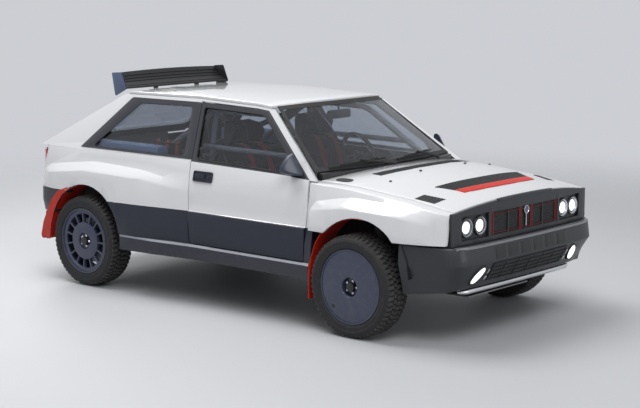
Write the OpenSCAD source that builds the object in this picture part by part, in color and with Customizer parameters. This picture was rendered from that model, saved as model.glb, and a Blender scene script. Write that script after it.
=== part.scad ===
// Rally hatchback, whole car, in millimetres.
// +X is forward, +Y is the car's left, +Z is up, and the origin is on the ground under its middle.

/* [Overall] */
// Distance between the front and rear axles
wheelbase = 2480; // [2200:10:3000]
// From the nose to the front axle
front_overhang = 760; // [640:10:920]
// From the rear axle to the tail
rear_overhang = 660; // [600:10:800]
// Half of the width over the arch flares
half_width = 910; // [880:5:1092]
// Height of the roof's side edges above the ground
roof_edge_z = 1385; // [1300:5:1480]
// Height of the glass line above the ground
belt_z = 952; // [930:1:975]
// Height of the seam between the painted panels and the cladding
waist_z = 640; // [620:1:660]
// Height of the sill's lower edge
sill_z = 318; // [265:1:340]

/* [Wheels] */
// Outside diameter of a tyre over its tread
tyre_d = 647; // [540:1:660]
// Width of a tyre
tyre_w = 205; // [170:1:240]
// Diameter of a rim at the tyre's bead
rim_d = 472; // [400:1:480]
// How far a tyre's outer face stands inside the widest point
tyre_inset = 10; // [5:1:30]
// Diameter of the axle spindles
spindle_d = 56; // [45:1:70]
// Running clearance of a hub on its spindle, on the radius
hub_clearance = 0.06; // [0.02:0.01:0.1]
// Distance of a kingpin from the middle of its tyre
kingpin_offset = 12; // [5:1:20]
// Steering angle to each side that the arches leave room for
steer_angle = 28; // [20:1:30]
// Gap between a steered tyre and the panels around it
steer_gap = 12; // [8:1:20]

/* [Panels] */
// Gap between a moving panel and its neighbours
panel_gap = 7; // [6:0.5:10]
// Thickness of the doors below the glass
door_t = 62; // [40:1:80]
// Thickness of the pillars and window frames
frame_t = 30; // [24:1:36]
// Thickness of the roof
roof_t = 20; // [16:1:24]
// Thickness of the bonnet
bonnet_t = 24; // [15:1:30]
// Thickness of the fenders and bumpers
skin_t = 22; // [14:1:28]
// Thickness of the window glass
glass_t = 5; // [4:0.5:6]
// Width of a window frame around its glass
frame_w = 30; // [24:1:40]
// Radius of the window corners
corner_r = 26; // [15:1:35]

/* [Interior] */
// Height of the floor above the ground
floor_z = 300; // [250:1:315]
// Width of a bucket seat
seat_w = 470; // [420:5:520]
// Distance of each seat's middle from the car's middle
seat_y = 365; // [340:5:390]
// Diameter of the roll cage's tubes
cage_d = 40; // [32:1:45]
// Diameter of the steering wheel
steering_d = 350; // [320:5:380]

/* [Hidden] */

$fn = 48;
seam = 0.3;
nose_x = (wheelbase + front_overhang + rear_overhang) / 2;
tail_x = -nose_x;
front_x = nose_x - front_overhang;
rear_x = front_x - wheelbase;
hub_z = tyre_d / 2;
wheel_y = half_width - tyre_inset - tyre_w / 2;
kingpin_y = wheel_y - kingpin_offset;
tyre_reach = hub_z * cos(steer_angle) + (tyre_w / 2 + kingpin_offset) * sin(steer_angle);
well_r = tyre_reach + steer_gap;

paint = "white";
cladding = [0.13, 0.14, 0.18];
plastic = [0.2, 0.2, 0.21];
metal = [0.55, 0.56, 0.58];
rubber = [0.08, 0.08, 0.08];
red = [0.75, 0.08, 0.05];
cage_colour = [0.4, 0.41, 0.43];
glass_colour = [0.5, 0.58, 0.62, 0.5];

function mix(a, b, t) = a + (b - a) * t;
function clamp(t) = min(1, max(0, t));
function unit(v) = v / norm(v);
function spread(a, b, n) = [for (i = [0 : n]) mix(a, b, i / n)];

// Rounds a chain of points by cutting its corners
function chaikin(p, n) = n == 0 ? p : chaikin([
    p[0],
    for (i = [0 : len(p) - 2])
        each [mix(p[i], p[i + 1], 0.25), mix(p[i], p[i + 1], 0.75)],
    p[len(p) - 1]
], n - 1);

// An outline with each corner turned into an arc of radius r
function rounded(p, r) = [
    for (i = [0 : len(p) - 1])
        let (
            b = p[i],
            u = unit(p[(i + len(p) - 1) % len(p)] - b),
            v = unit(p[(i + 1) % len(p)] - b),
            half = acos(u * v) / 2,
            mid = b + unit(u + v) * r / sin(half),
            start = b + u * r / tan(half) - mid,
            end = b + v * r / tan(half) - mid
        )
        for (t = [0 : 0.25 : 1]) mid + unit(mix(start, end, t)) * r
];

// An outline moved inwards by d, for outlines that turn anticlockwise
function inset(p, d) = [
    for (i = [0 : len(p) - 1])
        let (
            b = p[i],
            u = unit(b - p[(i + len(p) - 1) % len(p)]),
            v = unit(p[(i + 1) % len(p)] - b),
            n = unit([-u[1] - v[1], u[0] + v[0]])
        )
        b + n * d / (n * [-u[1], u[0]])
];

// Closed panel between two grids of points that have the same rows and columns
module shell(outer, inner) {
    rows = len(outer);
    cols = len(outer[0]);
    function at(side, r, c) = (side * rows + r) * cols + c;
    function quad(a, b, c, d) = [[a, b, c], [a, c, d]];
    mid_r = floor(rows / 2) - (rows > 2 ? 0 : 1);
    mid_c = floor(cols / 2);
    corner = outer[mid_r][mid_c - 1];
    across = outer[mid_r][mid_c] - corner;
    down = outer[mid_r + 1][mid_c - 1] - corner;
    inwards = cross(across, down) * (inner[mid_r][mid_c - 1] - corner) > 0;
    faces = [
        for (r = [0 : rows - 2], c = [0 : cols - 2]) each concat(
            quad(at(0, r, c), at(0, r, c + 1), at(0, r + 1, c + 1), at(0, r + 1, c)),
            quad(at(1, r, c), at(1, r + 1, c), at(1, r + 1, c + 1), at(1, r, c + 1))
        ),
        for (c = [0 : cols - 2]) each concat(
            quad(at(0, 0, c + 1), at(0, 0, c), at(1, 0, c), at(1, 0, c + 1)),
            quad(at(0, rows - 1, c), at(0, rows - 1, c + 1), at(1, rows - 1, c + 1), at(1, rows - 1, c))
        ),
        for (r = [0 : rows - 2]) each concat(
            quad(at(0, r, 0), at(0, r + 1, 0), at(1, r + 1, 0), at(1, r, 0)),
            quad(at(0, r + 1, cols - 1), at(0, r, cols - 1), at(1, r, cols - 1), at(1, r + 1, cols - 1))
        )
    ];
    points = [for (g = [outer, inner]) for (row = g) each row];
    polyhedron(points, inwards ? faces : [for (f = faces) [f[2], f[1], f[0]]], convexity = 6);
}

// The same grid moved by one vector
function moved(grid, v) = [for (row = grid) [for (p = row) p + v]];

// Both sides of the car, from a piece drawn on the left
module both() {
    children();
    mirror([0, 1, 0]) children();
}

// ---- Shape of the sides, drawn on the left ----

// Height of the glass line along the car
belt_line = [
    [rear_x - 590, 13], [rear_x - 150, 8], [rear_x + 570, 22], [front_x - 620, -4],
    [front_x - 430, -18], [front_x - 100, -30], [front_x + 330, -70], [front_x + 660, -122]
];
function belt(x) = belt_z + lookup(x, belt_line);

// Half width of the plain side at height z
function plain_y(z) = half_width + lookup(z, [
    [sill_z, -52], [sill_z + 80, -36], [sill_z + 92, -36], [sill_z + 106, -64],
    [waist_z - 4, -72], [waist_z, -88], [waist_z + 20, -94], [waist_z + 160, -110],
    [belt_z + 10, -150]
]);

// How far the arches swell from the plain side, and where their crest is
function swell(x) = lookup(x, [
    [rear_x - 620, -96], [rear_x - 575, -44], [rear_x - 520, -6], [rear_x - 450, 50],
    [rear_x - 330, 80], [rear_x - 100, 92], [rear_x + 195, 90], [rear_x + 574, 62],
    [rear_x + 974, 8], [rear_x + 1100, 0], [front_x - 352, 0], [front_x - 346, 62],
    [front_x - 200, 72], [front_x, 78], [front_x + 354, 66], [front_x + 500, 30],
    [front_x + 600, -12], [front_x + 660, -50], [front_x + 720, -96]
]);
function crest_z(x) = waist_z + lookup(x, [
    [rear_x - 560, 130], [rear_x - 370, 162], [rear_x, 204], [rear_x + 245, 199],
    [rear_x + 574, 187], [rear_x + 974, 130], [front_x - 352, 130], [front_x - 346, 130],
    [front_x - 300, 144], [front_x - 60, 179], [front_x + 354, 162], [front_x + 660, 92]
]);

// Half width of the side anywhere, with its arches
function side_y(x, z) = min(half_width, plain_y(z) + swell(x) * (
    swell(x) < 0 ? 1 : clamp((crest_z(x) + shoulder_h - z) / shoulder_h)));

// Side window plane: leans in above the glass line
lean = 26;
plane_y = half_width - 152;
function up(z) = (z - belt_z) / cos(lean);
function plane_at(z) = plane_y - (z - belt_z) * tan(lean);
module in_plane(depth, t) {
    translate([0, plane_y, belt_z]) rotate([90 + lean, 0, 0]) translate([0, 0, depth])
        linear_extrude(t) children();
}

// Height from a crest up to the shoulder line above it
shoulder_h = 46;

// Height of the roof's side edge along the car
function roof_side_z(x) = roof_edge_z + lookup(x, [
    [rear_x + 145, 0], [rear_x + 850, 8], [front_x - 1064, -10], [front_x - 925, -22]
]);

// Door edges: the rear one leans back towards its foot, the front one steps at the crease
door_foot_z = sill_z + 108;
function door_rear_x(z) = rear_x + 1042 - clamp((z - door_foot_z) / (belt_z - door_foot_z)) * 68;
function door_front_x(z) = front_x - 420 - clamp((z - 760) / 160) * 18;

// Windscreen pillar: its line from the scuttle to the roof
pillar_foot = [front_x - 372, belt_z - 14];
pillar_head = [front_x - 928, roof_edge_z - 22];
pillar_slope = (pillar_head[1] - pillar_foot[1]) / (pillar_head[0] - pillar_foot[0]);
pillar_w = 56;
function pillar_x(z) = pillar_foot[0] + (z - pillar_foot[1]) / pillar_slope;

// Rear edge of the side frame, along the tailgate
hatch_head = [rear_x + 149, roof_edge_z];
hatch_foot = [rear_x - 598, belt_z + 20];
function hatch_x(z) = mix(hatch_foot[0], hatch_head[0], (z - hatch_foot[1]) / (hatch_head[1] - hatch_foot[1]));

rail_h = 14;
function door_top_z(x) = roof_side_z(x) - roof_t - rail_h - panel_gap;
door_frame_front_x = pillar_x(roof_edge_z - 54) - pillar_w * 1.28;

// Corners of the door's window frame, anticlockwise seen from outside the left side
function sketch(list) = [for (p = list) [p[0], up(p[1])]];
door_outline = [
    [door_rear_x(belt_z), belt_z - 12],
    [pillar_x(belt_z - 12) - pillar_w * 1.3, belt_z - 12],
    [door_frame_front_x, door_top_z(door_frame_front_x)],
    [front_x - 1064, door_top_z(front_x - 1064)],
    [rear_x + 896, door_top_z(rear_x + 896)]
];
door_window = [
    [door_rear_x(belt_z) + frame_w, belt(rear_x + 1000) + 14],
    [pillar_x(belt_z) - pillar_w * 1.3 - 130, belt_z + 4],
    [pillar_x(belt_z + 95) - pillar_w * 1.3 - frame_w * 1.6, belt_z + 92],
    [door_frame_front_x - frame_w * 0.8, door_top_z(door_frame_front_x) - frame_w * 0.9],
    [rear_x + 896 + frame_w * 1.1, door_top_z(rear_x + 896) - frame_w * 0.9]
];
quarter_window = [
    [hatch_x(belt_z + 30) + 455, belt_z + 36],
    [door_rear_x(belt_z) - 72, belt_z + 36],
    [rear_x + 826, door_top_z(rear_x + 826) - frame_w * 0.9],
    [hatch_head[0] + 95, door_top_z(hatch_head[0] + 95) - frame_w]
];

// ---- Wheels and arches ----

front_arch = [front_x + 56, hub_z + 56, 377];
rear_arch = [rear_x + 30, hub_z + 42, 370];
function arch_point(a, angle) = [a[0] + a[2] * cos(angle), a[1] + a[2] * sin(angle)];
function arch_angle(a, z) = asin((z - a[1]) / a[2]);

// One column of a side panel, from its top at the glass line to its bottom point, over the crest
function side_column(top_x, bottom) = let (
    top = belt(top_x),
    crest = crest_z(bottom[0]),
    shoulder = crest + shoulder_h,
    heights = concat(
        [top, mix(top, shoulder, 0.5), shoulder, crest + 10, crest - 12],
        [for (s = [1 : 3]) mix(crest - 12, bottom[1], s / 3)]
    )
) [for (z = heights)
    let (x = mix(bottom[0], top_x, (z - bottom[1]) / (top - bottom[1]))) [x, side_y(x, z), z]];

function transpose(m) = [for (j = [0 : len(m[0]) - 1]) [for (column = m) column[j]]];

quarter_foot_z = waist_z + 36;
quarter_tail_x = rear_x - 545;
quarter_t = skin_t * 1.6;
module quarter() {
    a = rear_arch;
    first = arch_angle(a, door_foot_z);
    last = 180 - arch_angle(a, quarter_foot_z);
    ahead = spread(door_rear_x(door_foot_z) - panel_gap, arch_point(a, first)[0], 5);
    behind = spread(arch_point(a, last)[0], quarter_tail_x, 8);
    columns = concat(
        [for (i = [0 : 4]) side_column(
            mix(door_rear_x(belt_z) - panel_gap, a[0] + 330, i / 5), [ahead[i], door_foot_z])],
        [for (angle = spread(first, last, 14)) side_column(
            mix(a[0], arch_point(a, angle)[0], 0.9), arch_point(a, angle))],
        [for (i = [1 : 8]) side_column(behind[i], [behind[i], quarter_foot_z])]
    );
    shell(transpose(columns), moved(transpose(columns), [0, -quarter_t, 0]));
}

// Everything below the glass line, to trim the pillars where they stand on the panels
module below_belt(clearance) {
    rotate([90, 0, 0]) linear_extrude(2 * half_width, center = true)
        polygon(concat(
            [[tail_x - 200, belt(tail_x) + clearance]],
            [for (p = belt_line) [p[0], belt_z + p[1] + clearance]],
            [[nose_x, 0], [tail_x - 200, 0]]
        ));
}

module side_frame() {
    difference() {
        in_plane(0, frame_t) difference() {
            polygon(sketch([
                [hatch_x(belt_z - 20), belt_z - 20],
                [pillar_x(belt_z - 40), belt_z - 40],
                [pillar_x(pillar_head[1] - roof_t) - 8, pillar_head[1] - roof_t - seam],
                for (x = [front_x - 925, front_x - 1064, rear_x + 850]) [x, roof_side_z(x) - roof_t - seam],
                [hatch_x(roof_edge_z - roof_t), roof_edge_z - roof_t - seam]
            ]));
            polygon(inset(sketch(door_outline), -panel_gap));
            polygon(rounded(sketch(quarter_window), corner_r));
        }
        below_belt(seam);
    }
}

// Cladding under the door, with its upstand ahead of the door
module sill() {
    front = door_front_x(door_foot_z) + panel_gap;
    well = front_x - well_r;
    back = rear_arch[0] + sqrt(pow(rear_arch[2], 2) - pow(rear_arch[1] - sill_z - 60, 2)) + 8;
    behind = door_rear_x(door_foot_z) - panel_gap;
    stations = concat(spread(back, behind - 1, 4), spread(behind + 2, front - 1, 5), spread(front + 2, well, 2));
    top = function (x) x < behind ? door_foot_z - seam : x < front ? door_foot_z - panel_gap : waist_z - seam;
    levels = function (x) let (t = top(x)) [
        t, mix(t, sill_z + 106, 0.5), min(t, sill_z + 106) - 2, sill_z + 92, sill_z + 80, sill_z];
    grid = transpose([for (x = stations) [for (z = levels(x)) [x, side_y(x, z), z]]]);
    shell(grid, [for (row = grid) [for (p = row) [p[0], half_width - 130, p[2]]]]);
}

// ---- Top panels ----

function screen_foot(y) = let (s = pow(y / 711, 2)) [front_x - 310 - 124 * s, belt_z + 38 - 10 * s];
function roof_half(x) = plane_at(roof_side_z(x) - roof_t);
roof_corner_x = front_x - 941;
function screen_head_x(y) = roof_corner_x + 111 * (1 - pow(y / roof_half(roof_corner_x), 2));
function roof_top(x, y) = roof_side_z(x) + lookup(x, [
    [rear_x + 149, 9], [rear_x + 500, 17], [front_x - 900, 22], [front_x - 820, 20]
]) * (1 - pow(abs(y) / roof_half(x), 2.6));
cross_steps = [for (s = [-1, -0.97, -0.86, -0.7, -0.5, -0.25, 0, 0.25, 0.5, 0.7, 0.86, 0.97, 1]) s];

module roof() {
    color(paint) {
        stations = [roof_corner_x, front_x - 1064, front_x - 1250, front_x - 1440, rear_x + 850,
            rear_x + 650, rear_x + 480, rear_x + 310, hatch_head[0]];
        grid = [for (edge = stations) [for (s = cross_steps)
            let (
                t = (edge - roof_corner_x) / (hatch_head[0] - roof_corner_x),
                x = mix(screen_head_x(s * roof_half(roof_corner_x)), hatch_head[0], t),
                y = s * roof_half(edge)
            ) [x, y, roof_top(edge, y)]]];
        shell(grid, moved(grid, [0, 0, -roof_t]));
    }
}

module windscreen() {
    color(glass_colour) {
        side = function (z) plane_at(z) - frame_t / cos(lean) - seam;
        grid = [for (t = [0 : 0.2 : 1.001]) [for (s = cross_steps)
            let (
                foot = screen_foot(s * 711),
                head_x = screen_head_x(s * side(roof_side_z(roof_corner_x))) + 0.61 * glass_t + 1.3,
                head_z = roof_top(head_x, s * 500) - roof_t * 0.5,
                z = mix(foot[1], head_z, t)
            ) [mix(foot[0], head_x, t) + 9 * sin(180 * t) * (1 - s * s), s * side(z), z]]];
        shell(grid, moved(grid, [-0.61 * glass_t, 0, -0.79 * glass_t]));
    }
}

scuttle_w = 46;
module scuttle() {
    color(plastic) {
        strip = function (t, s) let (
            y = s * (half_width - 222),
            foot = screen_foot(y)
        ) [foot[0] - 10 + t * scuttle_w, y, foot[1] - 0.79 * glass_t - seam - 4 * t];
        grid = [for (t = [0, 0.5, 1]) [for (s = cross_steps) strip(t, s)]];
        shell(grid, moved(grid, [0, 0, -45]));
    }
}

// Half width of the bonnet opening
function fender_inner_y(x) = half_width + lookup(x, [
    [front_x - 430, -196], [front_x - 150, -208], [front_x + 660, -210]]);
function nose_line(y) = front_x + 700 - 30 * pow(y / 706, 2);
panel_depth = 18;
panel_half = half_width - 168;
function bonnet_rear_x(y) = screen_foot(y)[0] - 10 + scuttle_w + panel_gap;
function bonnet_top(x, y) = mix(belt(x), belt_z + lookup(x, [
    [front_x - 310, 33], [front_x - 150, 42], [front_x + 10, 46], [front_x + 80, 42],
    [front_x + 370, -4], [front_x + 480, -25], [front_x + 700, -78]
]), 1 - pow(min(1, abs(y) / fender_inner_y(x)), 2.4));

module bonnet() {
    color(paint) {
        grid = [for (t = [0 : 0.1 : 1.001]) [for (s = cross_steps)
            let (
                w = fender_inner_y(front_x) - panel_gap,
                x = mix(bonnet_rear_x(s * w), nose_line(s * w) - panel_depth - panel_gap, t),
                y = s * (fender_inner_y(x) - panel_gap)
            ) [x, y, bonnet_top(x, y)]]];
        shell(grid, moved(grid, [0, 0, -bonnet_t]));
    }
}

// ---- Front ----

fender_nose_x = nose_line(panel_half) - panel_depth - seam;
function fender_column(bottom) = let (
    x = bottom[0],
    top = belt(x),
    y0 = fender_inner_y(x),
    crest = crest_z(x),
    shoulder = min(crest + shoulder_h, top - 24),
    y3 = side_y(x, shoulder)
) concat(
    [[x, y0, top], [x, y0 + 26, top - 2], [x, mix(y0 + 26, y3, 0.72), top - 12]],
    [for (z = [shoulder, crest + 10, crest - 12]) [x, side_y(x, z), z]],
    [for (s = [1 : 3]) let (z = mix(crest - 12, bottom[1], s / 3)) [x, side_y(x, z), z]]
);
fender_depths = [[0, 0, -1], [0, 0, -1], [0, -0.3, -1], [0, -0.8, -0.6], [0, -1, -0.2]];

module fender() {
    a = front_arch;
    angle = arch_angle(a, waist_z);
    start = door_front_x(waist_z) + panel_gap;
    bottoms = concat(
        [for (x = [start, front_x - 353, front_x - 346]) [x, waist_z]],
        [for (t = spread(180 - angle, angle, 14)) arch_point(a, t)],
        [for (x = spread(arch_point(a, angle)[0], fender_nose_x, 5)) if (x > a[0] + 275) [x, waist_z]]
    );
    grid = transpose([for (b = bottoms) fender_column(b)]);
    shell(grid, [for (j = [0 : len(grid) - 1])
        [for (p = grid[j]) p + skin_t * (j < 5 ? fender_depths[j] : [0, -1, 0])]]);
}

// A flat shape in Y and Z, pushed forward along X
module facing(x, t) {
    translate([x, 0, 0]) rotate([90, 0, 90]) linear_extrude(t) children();
}

module nose_slab(depth, t) {
    ys = spread(-half_width, half_width, 24);
    translate([0, 0, sill_z]) linear_extrude(belt_z) polygon(concat(
        [for (y = ys) [nose_line(y) - depth, y]],
        [for (i = [len(ys) - 1 : -1 : 0]) [nose_line(ys[i]) - depth - t, ys[i]]]
    ));
}

grille_half = 372;
lamp_frame = [392, 652];
grille_z = [waist_z + 16, waist_z + 166];
module front_panel() {
    color(plastic) intersection() {
        nose_slab(0, panel_depth);
        facing(front_x + 500, 300) difference() {
            polygon(concat(
                [[-panel_half, bumper_top_z + 6 + seam], [panel_half, bumper_top_z + 6 + seam]],
                [for (y = [panel_half, 706, 600, 500, 400, 300, 150, 0, -150, -300, -400, -500, -600, -706, -panel_half])
                    [y, min(bonnet_top(nose_line(0) - 10, y), bonnet_top(nose_line(0) - 10, 700) + 60 * (panel_half + 10 - abs(y)) / 40)]]
            ));
            translate([-grille_half, grille_z[0]]) square([2 * grille_half, grille_z[1] - grille_z[0]]);
            for (side = [-1, 1])
                translate([side * (lamp_frame[0] + lamp_frame[1]) / 2, mix(grille_z[0], grille_z[1], 0.5)])
                    square([lamp_frame[1] - lamp_frame[0], grille_z[1] - grille_z[0]], center = true);
        }
    }
}

module grille() {
    color(plastic) intersection() {
        nose_slab(6, 12);
        facing(front_x + 500, 300) translate([-grille_half, grille_z[0]])
            square([2 * grille_half, grille_z[1] - grille_z[0]]);
    }
}

lamp_d = 122;
lamp_z = mix(grille_z[0], grille_z[1], 0.5);
module headlamps() {
    both() {
        color(plastic) intersection() {
            nose_slab(panel_depth + seam, 10);
            facing(front_x + 500, 300) translate([lamp_frame[0] - 8, grille_z[0] - 8])
                square([lamp_frame[1] - lamp_frame[0] + 16, grille_z[1] - grille_z[0] + 16]);
        }
        for (y = [lamp_frame[0] + 68, lamp_frame[1] - 64]) color("white")
            translate([nose_line(y) - 42, y, lamp_z]) rotate([0, 90, 0]) cylinder(d = lamp_d, h = 38);
    }
}

bumper_end_x = front_x + well_r;
bumper_top_z = waist_z - 18;
bumper_bottom_z = bumper_top_z - 312;
// How much higher the bumper's lower edge is at the nose than at the wheels
chin_rise = 36;
function bumper_line(drop, inwards, x_end) = let (
    xf = nose_x + drop[0] - inwards,
    w = drop[1] - inwards
) chaikin([
    [xf, 0], [xf - 6, half_width - 450], [xf - 16, half_width - 270 + w], [xf - 42, half_width - 178 + w],
    [front_x + 630, half_width - 112 + w], [x_end, half_width - 64 + w]
], 2);
bumper_rows = [
    [bumper_top_z + 6, [-14, 0], 62, 0], [bumper_top_z + 4, [-18, -2], 0, 0],
    [bumper_top_z - 6, [-12, 2], 0, 0], [bumper_top_z - 108, [0, 8], 0, 0],
    [bumper_top_z - 122, [-8, 4], 0, 0], [bumper_top_z - 250, [-70, -34], 0, 24],
    [bumper_top_z - 306, [-92, -44], 0, chin_rise], [bumper_bottom_z, [-96, -48], 90, chin_rise]
];
function bumper_grid(rows, t, x_end) = [for (i = [0 : len(rows) - 1])
    let (
        r = rows[i],
        line = bumper_line(r[1], r[2] + t, x_end),
        z = r[0] - (i < 2 ? t : i > len(rows) - 3 ? -t : 0)
    )
    [for (p = concat([for (k = [len(line) - 1 : -1 : 1]) [line[k][0], -line[k][1]]], line))
        [p[0], p[1], z + r[3] * clamp((p[0] + r[2] + t - bumper_end_x) / 300)]]];

fog_pos = [front_x + 724, half_width - 387, hub_z + 112];
fog_d = 104;
module front_bumper() {
    color(plastic) difference() {
        shell(bumper_grid(bumper_rows, 0, bumper_end_x), bumper_grid(bumper_rows, skin_t, bumper_end_x));
        both() translate(fog_pos + [-150, 0, 0]) rotate([0, 90, 0]) cylinder(d = fog_d + 2 * seam, h = 300);
    }
}

module fog_lamps() {
    color("white") both() translate(fog_pos - [34, 0, 0]) rotate([0, 90, 0]) cylinder(d = fog_d, h = 34);
}

guard_d = 34;
guard_pos = [front_x + 640, 0, bumper_bottom_z + chin_rise + 4 - guard_d / 2 - seam];
module guard_bar() {
    color(metal) {
        translate(guard_pos) rotate([90, 0, 0]) cylinder(d = guard_d, h = half_width * 1.2, center = true);
        both() translate(guard_pos + [-160, 300, -6]) cube([160, 30, 12]);
    }
}

// ---- Rear ----

tail_face_x = rear_x - 592;
function rear_arch_end(z) = rear_arch[0] - sqrt(pow(rear_arch[2], 2) - pow(z - rear_arch[1], 2));
function tail_line(z, drop, inwards) = let (
    xf = tail_x + drop[0] + inwards,
    w = drop[1] - inwards
) chaikin([
    [xf, 0], [xf + 6, half_width - 450], [xf + 20, half_width - 240 + w], [xf + 70, half_width - 150 + w],
    [rear_x - 490, half_width - 62 + w], [rear_x - 430, half_width - 30 + w],
    [rear_arch_end(z), half_width - 8 + w]
], 2);
tail_rows = [
    [quarter_foot_z - seam, [16, 0], 62], [quarter_foot_z - 3, [16, -2], 0], [quarter_foot_z - 12, [10, 0], 0],
    [quarter_foot_z - 105, [0, 0], 0], [quarter_foot_z - 120, [8, -4], 0],
    [quarter_foot_z - 176, [26, -16], 0], [quarter_foot_z - 180, [28, -18], 70]
];
module rear_bumper() {
    color(plastic) {
        grid = function (t) [for (i = [0 : len(tail_rows) - 1])
            let (
                r = tail_rows[i],
                line = tail_line(r[0], r[1], r[2] + t),
                z = r[0] - (i < 2 ? t : i > len(tail_rows) - 3 ? -t : 0)
            )
            [for (p = concat([for (k = [len(line) - 1 : -1 : 1]) [line[k][0], -line[k][1]]], line)) [p[0], p[1], z]]];
        shell(grid(0), grid(skin_t));
    }
}

tail_lamp_y = [half_width - 400, half_width - 172];
tail_lamp_z = [belt_z - 152, belt_z - 12];
// A block across the tail between two heights, widening towards the quarters' ends
module tail_block(y0, y1, y2, z0, z1) {
    back = quarter_tail_x - seam;
    translate([0, 0, z0]) linear_extrude(z1 - z0)
        polygon([[tail_face_x, y0], [tail_face_x, y1], [back, y2], [back, y0]]);
}

module tail_panel() {
    color(paint) both()
        tail_block(0, half_width - 175, half_width - 140, quarter_foot_z, tail_lamp_z[0]);
}

module tail_lamps() {
    color(red) both() {
        tail_block(tail_lamp_y[0], half_width - 185, half_width - 165, tail_lamp_z[0], tail_lamp_z[1]);
        tail_block(half_width - 192, half_width - 185, half_width - 176, tail_lamp_z[0], belt_z + 12);
    }
}

hatch_angle = atan2(hatch_head[1] - hatch_foot[1], hatch_head[0] - hatch_foot[0]);
hatch_len = norm(hatch_head - hatch_foot);
function hatch_half(u) = plane_at(hatch_head[1] - u * sin(hatch_angle)) - frame_t / cos(lean) - panel_gap;
hatch_t = 26;
module in_hatch(depth, t) {
    translate([hatch_head[0], 0, hatch_head[1]]) rotate([0, 180 - hatch_angle, 0])
        translate([0, 0, depth]) linear_extrude(t) children();
}
function hatch_z(x) = hatch_head[1] - (hatch_head[0] - x) * tan(hatch_angle);
hatch_window = [for (p = [[135, -1], [hatch_len - 150, -1], [hatch_len - 150, 1], [135, 1]])
    [p[0], p[1] * (hatch_half(p[0]) - 60)]];
// Tailgate hinge: a barrel on each side against the roof's rear edge
hinge_d = 15;
hinge_pos = [hatch_head[0] - hinge_d / 2 - seam, 380, roof_edge_z - 3];
module tailgate() {
    color(paint) {
        difference() {
            in_hatch(0, hatch_t) difference() {
                polygon([for (p = [[0, -1], [hatch_len, -1], [hatch_len, 1], [0, 1]])
                    [p[0], p[1] * hatch_half(p[0])]]);
                polygon(rounded(hatch_window, corner_r * 2));
            }
            translate([hatch_head[0] - panel_gap, -half_width, belt_z])
                cube([200, 2 * half_width, roof_edge_z]);
        }
        both() translate(hinge_pos) rotate([90, 0, 0]) cylinder(d = hinge_d, h = 60);
        facing(tail_face_x, hatch_t) translate([-tail_lamp_y[0] + panel_gap, tail_lamp_z[0] + panel_gap])
            square([2 * (tail_lamp_y[0] - panel_gap), belt_z - tail_lamp_z[0]]);
    }
}

module tailgate_glass() {
    color(glass_colour) in_hatch(4, glass_t) polygon(rounded(hatch_window, corner_r * 2));
}

wing_half = half_width - 390;
wing_foot = [hatch_head[0] - 71, roof_edge_z + 9];
module rear_wing() {
    color(plastic) {
        rotate([90, 0, 0]) linear_extrude(2 * wing_half, center = true)
            polygon([for (p = [[0, 0], [-60, 14], [-110, 44], [-142, 98], [-132, 108], [-96, 56], [-50, 28], [-4, 14]])
                wing_foot + p]);
        both() translate([0, wing_half, 0]) rotate([90, 0, 0]) linear_extrude(12, center = true)
            polygon([for (p = [[4, 0], [-112, -55], [-143, 107], [-46, 118]]) wing_foot + p]);
        both() translate([0, 210, 0]) rotate([90, 0, 0]) linear_extrude(14, center = true)
            polygon(concat([for (p = [[-2, 6], [-40, 16]]) wing_foot + p],
                [for (dx = [-40, -2]) let (x = wing_foot[0] + dx) [x, hatch_z(x) + 2 * seam]]));
    }
}

// ---- Doors ----

module door() {
    union() {
        steps = spread(0, 1, 12);
        column = function (t) let (
            foot_x = mix(door_rear_x(door_foot_z), door_front_x(door_foot_z), t),
            crest = crest_z(foot_x),
            shoulder = crest + shoulder_h,
            heights = [belt_z, (belt_z + shoulder) / 2, shoulder, crest + 10, crest - 12,
                mix(crest - 12, waist_z, 0.5), waist_z + 4, waist_z - 4,
                mix(door_foot_z, waist_z, 0.5), door_foot_z]
        ) [for (z = heights)
            let (x = mix(door_rear_x(z), door_front_x(z), t), h = z == belt_z ? belt(x) : z)
            [x, side_y(x, h), h]];
        grid = transpose([for (t = steps) column(t)]);
        shell(grid, moved(grid, [0, -door_t, 0]));
        in_plane(0, frame_t * 0.8) difference() {
            polygon(sketch(door_outline));
            polygon(rounded(sketch(door_window), corner_r));
        }
    }
}

module door_glass() {
    in_plane(frame_t * 0.3, glass_t) polygon(rounded(sketch(door_window), corner_r));
}

mirror_pos = [front_x - 595, half_width - 76, belt_z + 82];
mirror_arm_z = belt_z + 20;
module door_mirror() {
    translate(mirror_pos) cube([90, 128, 120], center = true);
    translate([front_x - 580, plane_at(mirror_arm_z) + seam, mirror_arm_z]) cube([34, 30, 26]);
}

// ---- Structure under the skin ----

rail_y = 470;
sheet_t = 6;
crossbar_x = front_x + 613;
module floor_pan() {
    color(metal) {
        inner_half = half_width - 130 - seam;
        front = front_x - well_r;
        cabin_back = rear_arch[0] + rear_arch[2] + 20;
        translate([cabin_back, -inner_half, floor_z]) cube([front - cabin_back, 2 * inner_half, sheet_t]);
        translate([tail_face_x + 60, -655, floor_z]) cube([cabin_back - tail_face_x - 60, 1310, sheet_t]);
        translate([front - sheet_t, -690, floor_z]) cube([sheet_t, 1380, belt_z - 60 - floor_z]);
        both() {
            translate([tail_face_x + 125, 655 - sheet_t, floor_z])
                cube([cabin_back + 275 - tail_face_x, sheet_t, belt_z - 80 - floor_z]);
            translate([front, rail_y - 30, floor_z + 90]) cube([crossbar_x + 12 - front, 60, 100]);
            translate([front_x - 60, rail_y - 30, floor_z + 190]) cube([120, 60, 330]);
            translate([front_x - 60, rail_y - 30, floor_z + 510]) cube([120, 190, 10]);
        }
        translate([crossbar_x, -645, floor_z + 90]) cube([12, 1290, 100]);
        both() translate([crossbar_x, 600, floor_z + 90]) cube([12, 45, 330]);
    }
}

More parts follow.
